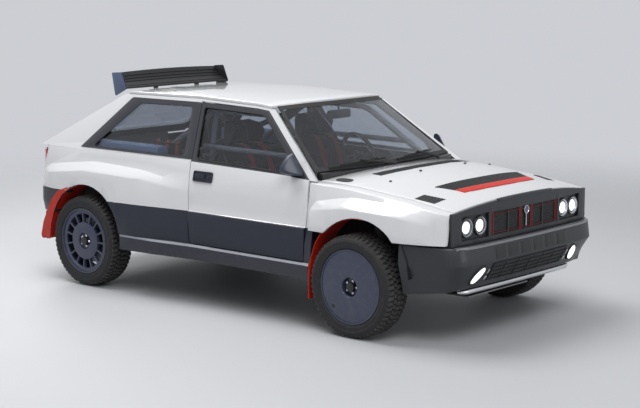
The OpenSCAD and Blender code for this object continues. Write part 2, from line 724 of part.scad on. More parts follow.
module engine() {
    color(metal) translate([front_x - 90, -300, floor_z + 10]) cube([420, 600, 430]);
}

column_d = 44;
cage_foot_y = 610;
module dashboard() {
    front = well_r + sheet_t + seam;
    color(plastic) {
        rotate([90, 0, 0]) linear_extrude(2 * (cage_foot_y - cage_d / 2 - 45), center = true) polygon([
            for (p = [[-front, -34], [-470, 8], [-640, 4], [-664, -26], [-650, -106], [-570, -146], [-530, -330],
                [-front, -330]]) [front_x + p[0], belt_z + p[1]]
        ]);
        in_steering(steering_hub_h + seam) cylinder(d = column_d, h = 420);
    }
}

seat_back_x = front_x - 1460;
module seat() {
    profile = [[500, 60], [490, 190], [300, 190], [200, 250], [110, 860], [40, 890], [-40, 860],
        [60, 120], [120, 60]];
    hollow = [[520, 160], [250, 110], [130, 170], [20, 830], [140, 900], [520, 400]];
    translate([seat_back_x, 0, floor_z + sheet_t]) {
        difference() {
            rotate([90, 0, 0]) linear_extrude(seat_w, center = true) polygon(profile);
            rotate([90, 0, 0]) linear_extrude(seat_w - 90, center = true) polygon(hollow);
        }
        for (y = [-150, 130]) translate([150, y, 0]) cube([320, 20, 62]);
    }
}

function along(a, b) = [0, acos((b - a)[2] / norm(b - a)), atan2((b - a)[1], (b - a)[0])];
module tube(a, b, d) {
    translate(a) rotate(along(a, b)) cylinder(d = d, h = norm(b - a));
}

// A tube with round ends, to be welded to others
module cage_tube(a, b) {
    hull() for (p = [a, b]) translate(p) sphere(d = cage_d, $fn = 12);
}

hoop_x = seat_back_x - 90;
cage_head = [hoop_x + 20, 478, roof_edge_z - 92];
cage_front = [front_x - 960, 440, roof_edge_z - 100];
cage_knee = [front_x - 470, 600, belt_z - 46];
module roll_cage() {
    color(cage_colour) {
        foot_z = floor_z + sheet_t;
        both() {
            cage_tube([hoop_x, cage_foot_y, foot_z + cage_d / 2], cage_head);
            cage_tube(cage_head, cage_front);
            cage_tube(cage_front, cage_knee);
            cage_tube(cage_knee, [front_x - 470, cage_foot_y, foot_z + cage_d / 2]);
            cage_tube(cage_head, [rear_x - 60, 560, floor_z + 330]);
        }
        for (p = [cage_head, cage_front]) cage_tube([p[0], -p[1], p[2]], p);
        cage_tube([cage_head[0], -cage_head[1], cage_head[2]], [hoop_x, cage_foot_y, foot_z + 60]);
    }
}

wheel_tilt = 24;
steering_hub_h = 40;
steering_pos = [front_x - 960, seat_y, belt_z - 6];
module in_steering(h) {
    translate(steering_pos) rotate([0, 90 + wheel_tilt, 0]) translate([0, 0, h]) children();
}
module steering_wheel() {
    color(rubber) in_steering(0) {
        rotate_extrude() translate([steering_d / 2 - 14, 0]) circle(d = 28);
        for (a = [0, 120, 240]) rotate([0, 0, a + 60]) translate([0, -15, -3]) cube([steering_d / 2 - 14, 30, 6]);
        cylinder(d = 76, h = steering_hub_h);
    }
}

// ---- Wheels, hubs and suspension ----

rim_face = tyre_w / 2 - 12;
module wheel_place(x, side) {
    translate([x, 0, hub_z]) mirror([0, side < 0 ? 1 : 0, 0]) translate([0, wheel_y, 0]) rotate([-90, 0, 0])
        children();
}

module tyre() {
    r = tyre_d / 2;
    w = tyre_w / 2;
    bead = rim_d / 2 + seam;
    color(rubber) rotate_extrude($fn = 96) polygon([
        [bead, -w + 14], [bead + 12, -w + 3], [bead + 44, -w], [r - 22, -w + 6], [r - 6, -w + 16], [r, -w + 28],
        [r, w - 28], [r - 6, w - 16], [r - 22, w - 6], [bead + 44, w], [bead + 12, w - 3], [bead, w - 14]
    ]);
}

spoke_count = 15;
module rim(slots) {
    r = rim_d / 2;
    bore = spindle_d / 2 + hub_clearance;
    difference() {
        rotate_extrude($fn = 96) polygon([
            [r - 14, -rim_face], [r, -rim_face], [r, rim_face], [r - 10, rim_face], [r - 12, rim_face - 24],
            [62, rim_face - 14], [58, rim_face - 4], [bore, rim_face - 4], [bore, rim_face - 70],
            [60, rim_face - 70], [60, rim_face - 30], [r - 14, rim_face - 42]
        ]);
        if (slots) for (i = [0 : spoke_count - 1]) rotate([0, 0, i * 360 / spoke_count])
            translate([150, -14, rim_face - 60]) cube([48, 28, 80]);
    }
}

upright_h = 230;
module knuckle() {
    color(metal) {
        translate([front_x - 28, kingpin_y - 30, hub_z - upright_h / 2]) cube([56, 46, upright_h]);
        translate([front_x, kingpin_y, hub_z]) rotate([-90, 0, 0])
            cylinder(d = spindle_d, h = kingpin_offset + rim_face - 4);
    }
}

module front_suspension() {
    color(plastic) {
        low = hub_z - upright_h / 2;
        high = hub_z + upright_h / 2;
        joint_h = 40;
        translate([front_x - 70, -420, floor_z - 54]) cube([140, 840, 54]);
        translate([front_x - 70, -300, floor_z]) cube([140, 600, 10]);
        both() {
            tube([front_x, 400, floor_z - 27], [front_x, kingpin_y, low - joint_h * 0.6], 24);
            translate([front_x, kingpin_y, low - joint_h]) cylinder(d = 44, h = joint_h - seam);
            tube([front_x, rail_y + 33, high + 62], [front_x, kingpin_y, high + joint_h / 2], 22);
            translate([front_x, kingpin_y, high + seam]) cylinder(d = 40, h = joint_h - seam);
            translate([front_x, 585, floor_z - 60]) cylinder(d = 78, h = 570);
        }
    }
}

hub_carrier_y = 656;
module rear_suspension() {
    color(plastic) {
        translate([rear_x - 60, -hub_carrier_y, floor_z - 60]) cube([120, 2 * hub_carrier_y, 60]);
        both() {
            translate([rear_x - 45, hub_carrier_y, floor_z - 60]) cube([90, 34, hub_z + 120 - floor_z]);
            translate([rear_x, hub_carrier_y + 30, hub_z]) rotate([-90, 0, 0])
                cylinder(d = spindle_d, h = wheel_y + rim_face - 34 - hub_carrier_y);
        }
    }
}

module sump_guard() {
    color(metal) translate([front_x - 200, -330, floor_z - 62]) cube([700, 660, 8]);
}

module mud_flaps() {
    color(red) both() {
        translate([front_x - well_r + seam, 660, 200]) cube([4, 215, 230]);
        translate([rear_x - 430, 660, 290]) cube([6, 212, quarter_foot_z - 180 - seam - 290]);
    }
}

exhaust_d = 80;
module exhaust() {
    color(metal) translate([tail_x + 30, -380, floor_z - exhaust_d / 2 - seam]) rotate([0, 90, 0])
        difference() {
            cylinder(d = exhaust_d, h = 500);
            translate([0, 0, -1]) cylinder(d = exhaust_d - 8, h = 400);
        }
}

floor_pan();
color(paint) mirror([0, 1, 0]) quarter();  // right_quarter
color(paint) quarter();  // left_quarter
color(paint) mirror([0, 1, 0]) side_frame();  // right_side_frame
color(paint) side_frame();  // left_side_frame
color(cladding) both() sill();  // sills
roof();
scuttle();
color(paint) mirror([0, 1, 0]) fender();  // right_fender
color(paint) fender();  // left_fender
front_panel();
grille();
headlamps();
front_bumper();
fog_lamps();
guard_bar();
rear_bumper();
tail_panel();
tail_lamps();
windscreen();
color(glass_colour) both()  // quarter_glass
    in_plane(frame_t * 0.3, glass_t) polygon(rounded(sketch(quarter_window), corner_r));
color(paint) mirror([0, 1, 0]) door();  // right_door
color(paint) door();  // left_door
color(glass_colour) mirror([0, 1, 0]) door_glass();  // right_door_glass
color(glass_colour) door_glass();  // left_door_glass
color(plastic) mirror([0, 1, 0]) door_mirror();  // right_mirror
color(plastic) door_mirror();  // left_mirror
bonnet();
tailgate();
tailgate_glass();
rear_wing();
engine();
dashboard();
color(rubber) translate([0, seat_y, 0]) seat();  // driver_seat
color(rubber) translate([0, -seat_y, 0]) seat();  // codriver_seat
roll_cage();
steering_wheel();
front_suspension();
rear_suspension();
sump_guard();
mirror([0, 1, 0]) knuckle();  // right_knuckle
knuckle();  // left_knuckle
color(metal) wheel_place(front_x, -1) rim(false);  // front_right_rim
color(metal) wheel_place(front_x, 1) rim(false);  // front_left_rim
color(metal) wheel_place(rear_x, -1) rim(true);  // rear_right_rim
color(metal) wheel_place(rear_x, 1) rim(true);  // rear_left_rim
wheel_place(front_x, -1) tyre();  // front_right_tyre
wheel_place(front_x, 1) tyre();  // front_left_tyre
wheel_place(rear_x, -1) tyre();  // rear_right_tyre
wheel_place(rear_x, 1) tyre();  // rear_left_tyre
mud_flaps();
exhaust();
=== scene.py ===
import math

import bmesh
import bpy
from mathutils import Matrix, Vector


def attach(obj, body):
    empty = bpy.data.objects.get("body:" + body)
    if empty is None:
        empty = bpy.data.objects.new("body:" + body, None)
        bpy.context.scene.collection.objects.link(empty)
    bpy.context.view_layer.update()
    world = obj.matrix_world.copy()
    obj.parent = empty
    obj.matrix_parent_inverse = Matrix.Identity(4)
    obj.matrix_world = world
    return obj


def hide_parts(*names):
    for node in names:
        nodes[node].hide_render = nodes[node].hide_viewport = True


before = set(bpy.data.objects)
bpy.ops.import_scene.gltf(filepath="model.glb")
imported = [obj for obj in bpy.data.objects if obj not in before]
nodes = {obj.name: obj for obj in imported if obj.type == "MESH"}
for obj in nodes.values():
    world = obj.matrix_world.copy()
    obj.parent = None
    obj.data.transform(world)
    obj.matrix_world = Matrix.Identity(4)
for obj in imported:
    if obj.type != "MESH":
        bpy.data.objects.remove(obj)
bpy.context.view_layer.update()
scene = bpy.context.scene
print("frame loaded,", len(nodes), "nodes")


# shader arithmetic: an expression on values adds its Math nodes
class Value:
    def __init__(self, finish, socket):
        self.finish = finish
        self.socket = socket

    def math(self, operation, *terms):
        return self.finish.add("Math", {"operation": operation}, dict(enumerate(terms)))

    def __add__(self, other):
        return self.math("ADD", self, other)

    def __sub__(self, other):
        return self.math("SUBTRACT", self, other)

    def __rsub__(self, other):
        return self.math("SUBTRACT", other, self)

    def __mul__(self, other):
        return self.math("MULTIPLY", self, other)

    def __gt__(self, other):
        return self.math("GREATER_THAN", self, other)

    __radd__ = __add__
    __rmul__ = __mul__

    # 0 below low, 1 above high, smooth between
    def step(self, low, high):
        return self.finish.add("MapRange", {"interpolation_type": "SMOOTHSTEP"},
                               {"Value": self, "From Min": low, "From Max": high})


class Finish:
    def __init__(self, name, colour, roughness, **values):
        self.material = bpy.data.materials.new(name)
        self.material.use_nodes = True
        self.tree = self.material.node_tree
        self.shader = next(n for n in self.tree.nodes if n.type == "BSDF_PRINCIPLED")
        self.material.diffuse_color = (*colour, 1)
        self.set("Base Color", (*colour, 1))
        self.set("Roughness", roughness)
        for label, value in values.items():
            self.set(label.replace("_", " "), value)
        self.place = self.add("TexCoord", output="Object")

    def connect(self, value, socket):
        if isinstance(value, Value):
            self.tree.links.new(value.socket, socket)
        else:
            socket.default_value = value

    def set(self, label, value):
        self.connect(value, self.shader.inputs[label])

    # any node by its type: settings first, then the values or links of its sockets
    def add(self, kind, settings=None, sockets=None, output=0):
        node = self.tree.nodes.new("ShaderNode" + kind)
        for key, value in (settings or {}).items():
            setattr(node, key, value)
        for key, value in (sockets or {}).items():
            self.connect(value, node.inputs[key])
        return Value(self, node.outputs[output])

    def axis(self, name):
        return self.add("SeparateXYZ", sockets={0: self.place}, output=name)

    def noise(self, scale, detail=2.0, place=None):
        return self.add("TexNoise", sockets={"Vector": place or self.place, "Scale": scale, "Detail": detail})

    def mix(self, factor, first, second):
        return self.add("Mix", {"data_type": "RGBA"}, {0: factor, 6: first, 7: second}, output=2)

    def bump(self, height, strength, distance):
        self.set("Normal", self.add("Bump", sockets={
            "Height": height, "Strength": strength, "Distance": distance}))


def rgb(red, green, blue):
    return (red, green, blue, 1)


# painted panels: white above the waist seam, dark below it where a panel crosses it; the white's shaded copy
# is painted shade, and the light grey for the sill's ledge is a painted highlight
paintLook = {"white": (0.78, 0.785, 0.8), "shade": (0.7, 0.71, 0.73), "dark": (0.02, 0.023, 0.04),
             "darkShade": (0.014, 0.016, 0.03), "waist": 0.6405, "ledgeHighlight": (0.3, 0.31, 0.35)}


def makePaint(name, twoTone):
    look = paintLook
    finish = Finish(name, look["white"], 0.22, Coat_Weight=1.0, Coat_Roughness=0.04)
    height = finish.axis("Z")
    # the lower body turns in noisy patches towards the shaded white: painted shade; the same mask makes the
    # paint rougher there, as grime
    paintedShadeAndGrime = finish.noise(3.2, 4) * (1 - height.step(0.35, 0.95))
    white = finish.mix(paintedShadeAndGrime * 0.5, rgb(*look["white"]), rgb(*look["shade"]))
    rough = 0.2 + finish.noise(9, 4) * 0.06 + paintedShadeAndGrime * 0.12
    if twoTone:
        upper = height > look["waist"]
        dark = finish.mix(finish.noise(14, 5), rgb(*look["dark"]), rgb(*look["darkShade"]))
        white = finish.mix(upper, dark, white)
        rough = rough + (1 - upper) * 0.25
        finish.set("Coat Weight", upper)
    finish.set("Base Color", white)
    finish.set("Roughness", rough)
    finish.bump(finish.noise(420, 1), 0.025, 0.0006)
    return finish.material


def makeCladding():
    look = paintLook
    finish = Finish("sillCladding", look["dark"], 0.4)
    height = finish.axis("Z")
    dust = finish.noise(22, 6).step(0.42, 0.75) * (1 - height.step(0.3, 0.62))
    dark = finish.mix(finish.noise(14, 5), rgb(*look["dark"]), rgb(*look["darkShade"]))
    dark = finish.mix(dust * 0.35, dark, rgb(0.09, 0.085, 0.08))
    # a thin light grey band along the sill's ledge: painted highlight, where light from above catches the
    # ledge
    ledgeHighlight = height.step(0.4075, 0.4085) * (1 - height.step(0.4205, 0.4215))
    finish.set("Base Color", finish.mix(ledgeHighlight, dark, rgb(*look["ledgeHighlight"])))
    finish.set("Roughness", 0.36 + dust * 0.3)
    finish.bump(finish.noise(700, 2), 0.12, 0.0008)
    return finish.material


# moulded plastics, rubber and metals from one recipe: two close colours, grain and dust
def makeGrain(name, first, second, roughness, scale=500, strength=0.15, spread=18, dust=0.0, **values):
    finish = Finish(name, first, roughness, **values)
    colour = finish.mix(finish.noise(spread, 5), rgb(*first), rgb(*second))
    rough = roughness - 0.05 + finish.noise(spread * 1.7, 4) * 0.1
    if dust:
        worn = finish.noise(30, 7).step(0.45, 0.7)
        colour = finish.mix(worn * dust, colour, rgb(0.17, 0.155, 0.135))
        rough = rough + worn * (0.25 * dust)
    finish.set("Base Color", colour)
    finish.set("Roughness", rough)
    finish.bump(finish.noise(scale, 3), strength, 0.001)
    return finish.material


def makeWeave(name, first, second, threads, roughness):
    finish = Finish(name, first, roughness, Sheen_Weight=0.4, Sheen_Roughness=0.5)
    warp = finish.add("TexWave", {"bands_direction": "X"}, {"Vector": finish.place, "Scale": threads})
    weft = finish.add("TexWave", {"bands_direction": "Z"}, {"Vector": finish.place, "Scale": threads})
    cross = finish.add("TexWave", {"bands_direction": "Y"}, {"Vector": finish.place, "Scale": threads})
    thread = (warp + weft + cross) * 0.333
    finish.set("Base Color", finish.mix(thread * finish.noise(40, 4) * 1.6, rgb(*second), rgb(*first)))
    finish.bump(thread, 0.35, 0.0012)
    return finish.material


def makeGlass(name, colour, roughness=0.0):
    finish = Finish(name, colour, roughness, IOR=1.45, Transmission_Weight=1.0)
    finish.set("Roughness", roughness + finish.noise(6, 5).step(0.55, 0.9) * 0.05)
    return finish.material


def makeLit(name, colour, strength):
    finish = Finish(name, (0.9, 0.9, 0.9), 0.15, Emission_Strength=strength)
    glow = finish.noise(60, 2)
    finish.set("Emission Color", finish.mix(glow * 0.25, rgb(*colour), rgb(0.86, 0.92, 1.0)))
    finish.bump(finish.noise(150, 1), 0.2, 0.001)
    return finish.material


def makeTail():
    finish = Finish("tailLens", (0.45, 0.01, 0.008), 0.12, Coat_Weight=1.0, Coat_Roughness=0.03,
                    Emission_Strength=0.35)
    ribs = finish.add("TexWave", {"bands_direction": "Z"}, {"Vector": finish.place, "Scale": 26.0})
    colour = finish.mix(ribs, rgb(0.22, 0.004, 0.004), rgb(0.55, 0.014, 0.01))
    finish.set("Base Color", colour)
    finish.set("Emission Color", colour)
    finish.bump(ribs, 0.3, 0.002)
    return finish.material


def makeNet(name, colour, cells):
    finish = Finish(name, colour, 0.6)
    cell = finish.add("TexVoronoi", {"feature": "DISTANCE_TO_EDGE"}, {"Vector": finish.place, "Scale": cells})
    wire = 1 - cell.step(0.06, 0.16)
    finish.set("Base Color", finish.mix(wire, rgb(0.004, 0.004, 0.004), rgb(*colour)))
    finish.bump(wire, 0.6, 0.002)
    return finish.material


metal = {"Metallic": 1.0}
looks = {
    "paint": makePaint("whitePaint", False),
    "twoTone": makePaint("whiteOverDark", True),
    "cladding": makeCladding(),
    "grey": makeGrain("greyPlastic", (0.026, 0.027, 0.033), (0.019, 0.02, 0.025), 0.42, 600, 0.2,
                      Coat_Weight=0.15),
    "black": makeGrain("blackPlastic", (0.012, 0.012, 0.014), (0.02, 0.02, 0.022), 0.38, 500, 0.2),
    "frameBlack": makeGrain("windowFrameBlack", (0.022, 0.024, 0.032), (0.03, 0.032, 0.042), 0.3, 300, 0.05,
                            Coat_Weight=0.4),
    "underbody": makeGrain("underbodyPaint", (0.035, 0.036, 0.04), (0.06, 0.06, 0.062), 0.6, 200, 0.2),
    "cast": makeGrain("castAlloy", (0.3, 0.3, 0.31), (0.22, 0.22, 0.23), 0.5, 260, 0.3, **metal),
    "steel": makeGrain("blackSteel", (0.03, 0.03, 0.032), (0.05, 0.05, 0.05), 0.5, 300, 0.2),
    "bright": makeGrain("brightMetal", (0.75, 0.76, 0.78), (0.62, 0.63, 0.65), 0.2, 200, 0.03, **metal),
    "rim": makeGrain("rimPaint", (0.042, 0.052, 0.098), (0.032, 0.04, 0.078), 0.4, 900, 0.12, dust=0.12,
                     Coat_Weight=0.3),
    "tyre": makeGrain("tyreRubber", (0.009, 0.009, 0.01), (0.014, 0.014, 0.015), 0.68, 700, 0.3, dust=0.05),
    "tread": makeGrain("tyreTread", (0.03, 0.03, 0.031), (0.05, 0.049, 0.048), 0.8, 500, 0.4, dust=0.25),
    "rubber": makeGrain("blackRubber", (0.01, 0.01, 0.01), (0.018, 0.018, 0.018), 0.6, 600, 0.2),
    "flap": makeGrain("redFlap", (0.6, 0.022, 0.006), (0.48, 0.016, 0.005), 0.34, 220, 0.1, dust=0.12),
    "strip": makeGrain("orangeStrip", (0.62, 0.02, 0.004), (0.55, 0.016, 0.004), 0.45, 220, 0.08),
    "plate": makeGrain("bluePlate", (0.085, 0.12, 0.22), (0.065, 0.095, 0.18), 0.35, 300, 0.06,
                       Coat_Weight=0.5),
    "cage": makeGrain("cagePaint", (0.3, 0.31, 0.33), (0.24, 0.25, 0.27), 0.35, 300, 0.05, Coat_Weight=0.4),
    # the bumper's top edge is light grey: painted highlight
    "edge": makeGrain("bumperEdgePaintedHighlight", (0.24, 0.245, 0.26), (0.19, 0.195, 0.21), 0.3, 300, 0.05,
                      Coat_Weight=0.4),
    "seat": makeWeave("seatFabric", (0.02, 0.02, 0.023), (0.006, 0.006, 0.007), 160.0, 0.9),
    "belt": makeWeave("redWebbing", (0.62, 0.035, 0.01), (0.3, 0.012, 0.005), 190.0, 0.7),
    "glass": makeGlass("windowGlass", (0.58, 0.62, 0.68)),
    "lens": makeGlass("lampLens", (0.96, 0.97, 1.0)),
    "lit": makeLit("lampLight", (1.0, 1.0, 1.0), 1.35),
    "tail": makeTail(),
    "net": makeNet("grilleMesh", (0.035, 0.035, 0.04), 95.0),
    "wing": makeGrain("wingBlack", (0.006, 0.006, 0.008), (0.01, 0.01, 0.012), 0.45, 500, 0.15),
    "mirrorBlue": makeGrain("mirrorPaint", (0.026, 0.036, 0.066), (0.02, 0.028, 0.052), 0.4, 300, 0.06,
                            Coat_Weight=0.2),
    "trimBlue": makeGrain("lightBlueTrim", (0.32, 0.42, 0.62), (0.28, 0.37, 0.56), 0.5, 200, 0.1),
    "darkRed": makeGrain("darkRedTrim", (0.17, 0.008, 0.008), (0.13, 0.006, 0.006), 0.5, 300, 0.08),
    "dash": makeGrain("dashboardBlack", (0.014, 0.014, 0.016), (0.022, 0.022, 0.024), 0.7, 420, 0.35),
    "brass": makeGrain("dialFace", (0.3, 0.3, 0.28), (0.22, 0.22, 0.21), 0.4, 300, 0.1),
    "mirror": makeGrain("mirrorSilver", (0.85, 0.86, 0.88), (0.8, 0.81, 0.83), 0.04, 50, 0.0, **metal),
}
print("finishes:", len(looks))


def turn(degrees, axis):
    return Matrix.Rotation(math.radians(degrees), 3, axis)


def circle(count):
    return [2 * math.pi * i / count for i in range(count)]


# the direction of a path at one of its points
def heading(path, i):
    return (path[min(i + 1, len(path) - 1)] - path[max(i - 1, 0)]).normalized()


# a mesh being built in metres: vertices and faces, then one finished piece
class Shape:
    def __init__(self):
        self.verts = []
        self.faces = []

    def join(self, verts, faces):
        first = len(self.verts)
        self.verts += [Vector(v) for v in verts]
        self.faces += [tuple(first + i for i in face) for face in faces]
        return self

    def include(self, other):
        return self.join(other.verts, other.faces)

    # rows of points; "around" closes each row on itself, "ends" caps the first and last row
    def grid(self, rows, around=False, ends=False, loop=False):
        count, width = len(rows), len(rows[0])
        across = width if around else width - 1
        faces = [(r * width + c, r * width + (c + 1) % width,
                  (r + 1) % count * width + (c + 1) % width, (r + 1) % count * width + c)
                 for r in range(count if loop else count - 1) for c in range(across)]
        if ends:
            faces += [tuple(range(width)), tuple(count * width - 1 - i for i in range(width))]
        return self.join([p for row in rows for p in row], faces)

    # a closed solid through rows of points
    def solid(self, rows):
        return self.grid(rows, around=True, ends=True)

    # an outline in space pushed along a vector
    def prism(self, outline, push):
        outline = [Vector(p) for p in outline]
        return self.solid([outline, [p + Vector(push) for p in outline]])

    # the band between two outlines with equal counts, pushed along a vector
    def band(self, outer, inner, push):
        push = Vector(push)
        outer, inner = [Vector(p) for p in outer], [Vector(p) for p in inner]
        return self.grid([outer, inner, [p + push for p in inner], [p + push for p in outer]], around=True,
                         loop=True)

    def block(self, centre, size):
        x, y, z = (s / 2 for s in size)
        corners = [Vector(centre) + Vector(p) for p in ((-x, -y, -z), (x, -y, -z), (x, y, -z), (-x, y, -z))]
        return self.prism(corners, (0, 0, 2 * z))

    # closed profile of (radius, out) turned about the Y axis
    def lathe(self, profile, steps=96, closed=True):
        rows = [[(r * math.sin(a), w, r * math.cos(a)) for r, w in profile] for a in circle(steps)]
        return self.grid(rows, around=closed, loop=True)

    # a tube along points, with one radius or one for each point
    def tube(self, points, radius, sides=14):
        points = [Vector(p) for p in points]
        rows = []
        side = None
        for i, p in enumerate(points):
            ahead = heading(points, i)
            if side is None:
                side = ahead.orthogonal().normalized()
            side = (side - ahead * side.dot(ahead)).normalized()
            up = ahead.cross(side)
            size = radius[i] if isinstance(radius, (list, tuple)) else radius
            rows.append([p + (side * math.cos(a) + up * math.sin(a)) * size for a in circle(sides)])
        return self.solid(rows)

    def moved(self, centre):
        self.verts = [v + Vector(centre) for v in self.verts]
        return self

    def turned(self, matrix):
        self.verts = [matrix @ v for v in self.verts]
        return self

    def flipped(self):
        self.verts = [Vector((v.x, -v.y, v.z)) for v in self.verts]
        return self

    def bothSides(self):
        return self.join([(v.x, -v.y, v.z) for v in self.verts], list(self.faces))

    def mesh(self, name):
        mesh = bpy.data.meshes.new(name)
        mesh.from_pydata(self.verts, [], self.faces)
        work = bmesh.new()
        work.from_mesh(mesh)
        bmesh.ops.remove_doubles(work, verts=work.verts, dist=0.00002)
        bmesh.ops.recalc_face_normals(work, faces=work.faces)
        work.to_mesh(mesh)
        work.free()
        return mesh

    def piece(self, name, look, body="car_body", **more):
        return finished(newObject(name, self.mesh(name)), look, body, **more)


def newObject(name, mesh):
    obj = bpy.data.objects.new(name, mesh)
    scene.collection.objects.link(obj)
    return obj


# a shape made from an object's mesh, which is then removed
def taken(obj):
    shape = Shape().join([v.co for v in obj.data.vertices], [tuple(p.vertices) for p in obj.data.polygons])
    bpy.data.objects.remove(obj)
    return shape


def applyModifiers(obj):
    graph = bpy.context.evaluated_depsgraph_get()
    mesh = bpy.data.meshes.new_from_object(obj.evaluated_get(graph))
    obj.modifiers.clear()
    obj.data = mesh


def roundEdges(obj, width, angle):
    edge = obj.modifiers.new("edges", "BEVEL")
    edge.width, edge.segments, edge.limit_method = width, 2, "ANGLE"
    edge.angle_limit = math.radians(angle)


# gives a piece its smoothing and its body, and hides the CAD nodes that it replaces
def dressed(obj, body, replaced, angle):
    obj.data.shade_smooth()
    obj.data.set_sharp_from_angle(angle=math.radians(angle))
    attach(obj, body)
    if replaced:
        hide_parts(*replaced)
    return obj


def finished(obj, look, body, slot=None, replaced=(), bevel=0.0, angle=30, levels=0):
    obj.data.materials.clear()
    obj.data.materials.append(looks[look])
    if bevel:
        roundEdges(obj, bevel, angle)
    if levels:
        smooth = obj.modifiers.new("smooth", "SUBSURF")
        smooth.levels = smooth.render_levels = levels
    if bevel or levels:
        obj.data.shade_smooth()
        applyModifiers(obj)
    return dressed(obj, body, replaced, angle)


# a finer panel made from a CAD node: merged, its flat faces joined, its edges rounded;
# "lining" is the look of the faces that "split" picks, after the outer look
def panelFrom(node, name, look, bevel=0.0025, angle=24, lining=(), split=None, body="car_body"):
    mesh = nodes[node].data.copy()
    work = bmesh.new()
    work.from_mesh(mesh)
    bmesh.ops.remove_doubles(work, verts=work.verts, dist=0.00005)
    bmesh.ops.dissolve_limit(work, angle_limit=0.008, verts=work.verts, edges=work.edges)
    if split:
        for face in work.faces:
            face.material_index = split(face.calc_center_median(), face.normal)
    work.to_mesh(mesh)
    work.free()
    indices = [p.material_index for p in mesh.polygons]
    obj = newObject(name, mesh)
    mesh.materials.clear()
    for part in (look, *lining):
        mesh.materials.append(looks[part])
    mesh.polygons.foreach_set("material_index", indices)
    roundEdges(obj, bevel, angle + 8)
    mesh.shade_smooth()
    applyModifiers(obj)
    return dressed(obj, body, [node], angle)


# a geometry node tree that repeats a unit around the Y axis, or along a line
def makeRepeater(name, around):
    tree = bpy.data.node_groups.new(name, "GeometryNodeTree")
    inputs = [("Unit", "Geometry"), ("Count", "Int"), ("Finish", "Material")]
    for label, kind in inputs if around else inputs + [("Step", "Vector")]:
        tree.interface.new_socket(label, in_out="INPUT", socket_type="NodeSocket" + kind)
    tree.interface.new_socket("Geometry", in_out="OUTPUT", socket_type="NodeSocketGeometry")
    make, link = tree.nodes.new, tree.links.new
    given, result = make("NodeGroupInput"), make("NodeGroupOutput")
    line, place = make("GeometryNodeMeshLine"), make("GeometryNodeInstanceOnPoints")
    real, finish = make("GeometryNodeRealizeInstances"), make("GeometryNodeSetMaterial")
    link(given.outputs["Count"], line.inputs["Count"])
    link(line.outputs["Mesh"], place.inputs["Points"])
    link(given.outputs["Unit"], place.inputs["Instance"])
    if around:
        line.inputs["Offset"].default_value = (0, 0, 0)
        index, share, full = make("GeometryNodeInputIndex"), make("ShaderNodeMath"), make("ShaderNodeMath")
        turned = make("ShaderNodeCombineXYZ")
        share.operation, full.operation = "DIVIDE", "MULTIPLY"
        full.inputs[1].default_value = 2 * math.pi
        link(index.outputs[0], share.inputs[0])
        link(given.outputs["Count"], share.inputs[1])
        link(share.outputs[0], full.inputs[0])
        link(full.outputs[0], turned.inputs["Y"])
        link(turned.outputs[0], place.inputs["Rotation"])
    else:
        link(given.outputs["Step"], line.inputs["Offset"])
    link(place.outputs[0], real.inputs[0])
    link(real.outputs[0], finish.inputs["Geometry"])
    link(given.outputs["Finish"], finish.inputs["Material"])
    link(finish.outputs[0], result.inputs[0])
    return tree


repeatAround = makeRepeater("repeatAround", True)
repeatAlong = makeRepeater("repeatAlong", False)


# repeats a unit around the Y axis, or along "step", and gives back a plain Shape to build on
def repeated(unit, count, look, step=None):
    obj = newObject("unit", unit.mesh("unit"))
    modifier = obj.modifiers.new("repeat", "NODES")
    modifier.node_group = repeatAlong if step else repeatAround
    values = {"Count": count, "Finish": looks[look], "Step": step}
    for item in modifier.node_group.interface.items_tree:
        if item.in_out == "INPUT" and item.name in values:
            modifier[item.identifier] = values[item.name]
    applyModifiers(obj)
    return taken(obj)


# the car's own lines, in metres
def along(x, table):
    if x <= table[0][0]:
        return table[0][1]
    for (x0, y0), (x1, y1) in zip(table, table[1:]):
        if x <= x1:
            return y0 + (y1 - y0) * (x - x0) / (x1 - x0)
    return table[-1][1]


car = {"frontX": 1.19, "rearX": -1.29, "hubZ": 0.3235, "wheelY": 0.7975, "beltZ": 0.952, "planeY": 0.758,
       "lean": math.radians(26)}
beltLine = [(-1.88, 0.965), (-1.44, 0.96), (-0.72, 0.974), (0.57, 0.948), (0.76, 0.934), (1.09, 0.922),
            (1.52, 0.882), (1.85, 0.83)]
crownLine = [(0.88, 0.985), (1.04, 0.994), (1.2, 0.998), (1.27, 0.994), (1.56, 0.948), (1.67, 0.927),
             (1.89, 0.874)]
innerLine = [(0.76, 0.714), (1.04, 0.702), (1.85, 0.7)]


def belt(x):
    return along(x, beltLine)


def noseX(y):
    return car["frontX"] + 0.7 - 0.03 * (y / 0.706) ** 2


def bonnetTop(x, y):
    low = belt(x)
    return low + (along(x, crownLine) - low) * (1 - min(1, abs(y) / along(x, innerLine)) ** 2.4)


# a point on the leaning window plane, pushed outwards by "out"
def onPlane(x, z, out=0.0):
    y = car["planeY"] - (z - car["beltZ"]) * math.tan(car["lean"])
    return Vector((x, y + out * math.cos(car["lean"]), z + out * math.sin(car["lean"])))


planeOut = Vector((0, math.cos(car["lean"]), math.sin(car["lean"])))


def rounded(points, radius, steps=6):
    result = []
    count = len(points)
    for i, here in enumerate(points):
        here = Vector(here)
        before, after = Vector(points[i - 1]) - here, Vector(points[(i + 1) % count]) - here
        reach = min(radius, before.length * 0.45, after.length * 0.45)
        start, end = here + before.normalized() * reach, here + after.normalized() * reach
        for k in range(steps + 1):
            t = k / steps
            result.append(start * (1 - t) ** 2 + here * 2 * t * (1 - t) + end * t ** 2)
    return result


# points on a straight line, ends included
def between(start, end, steps):
    return [start + (end - start) * i / steps for i in range(steps + 1)]


print("tools ready")

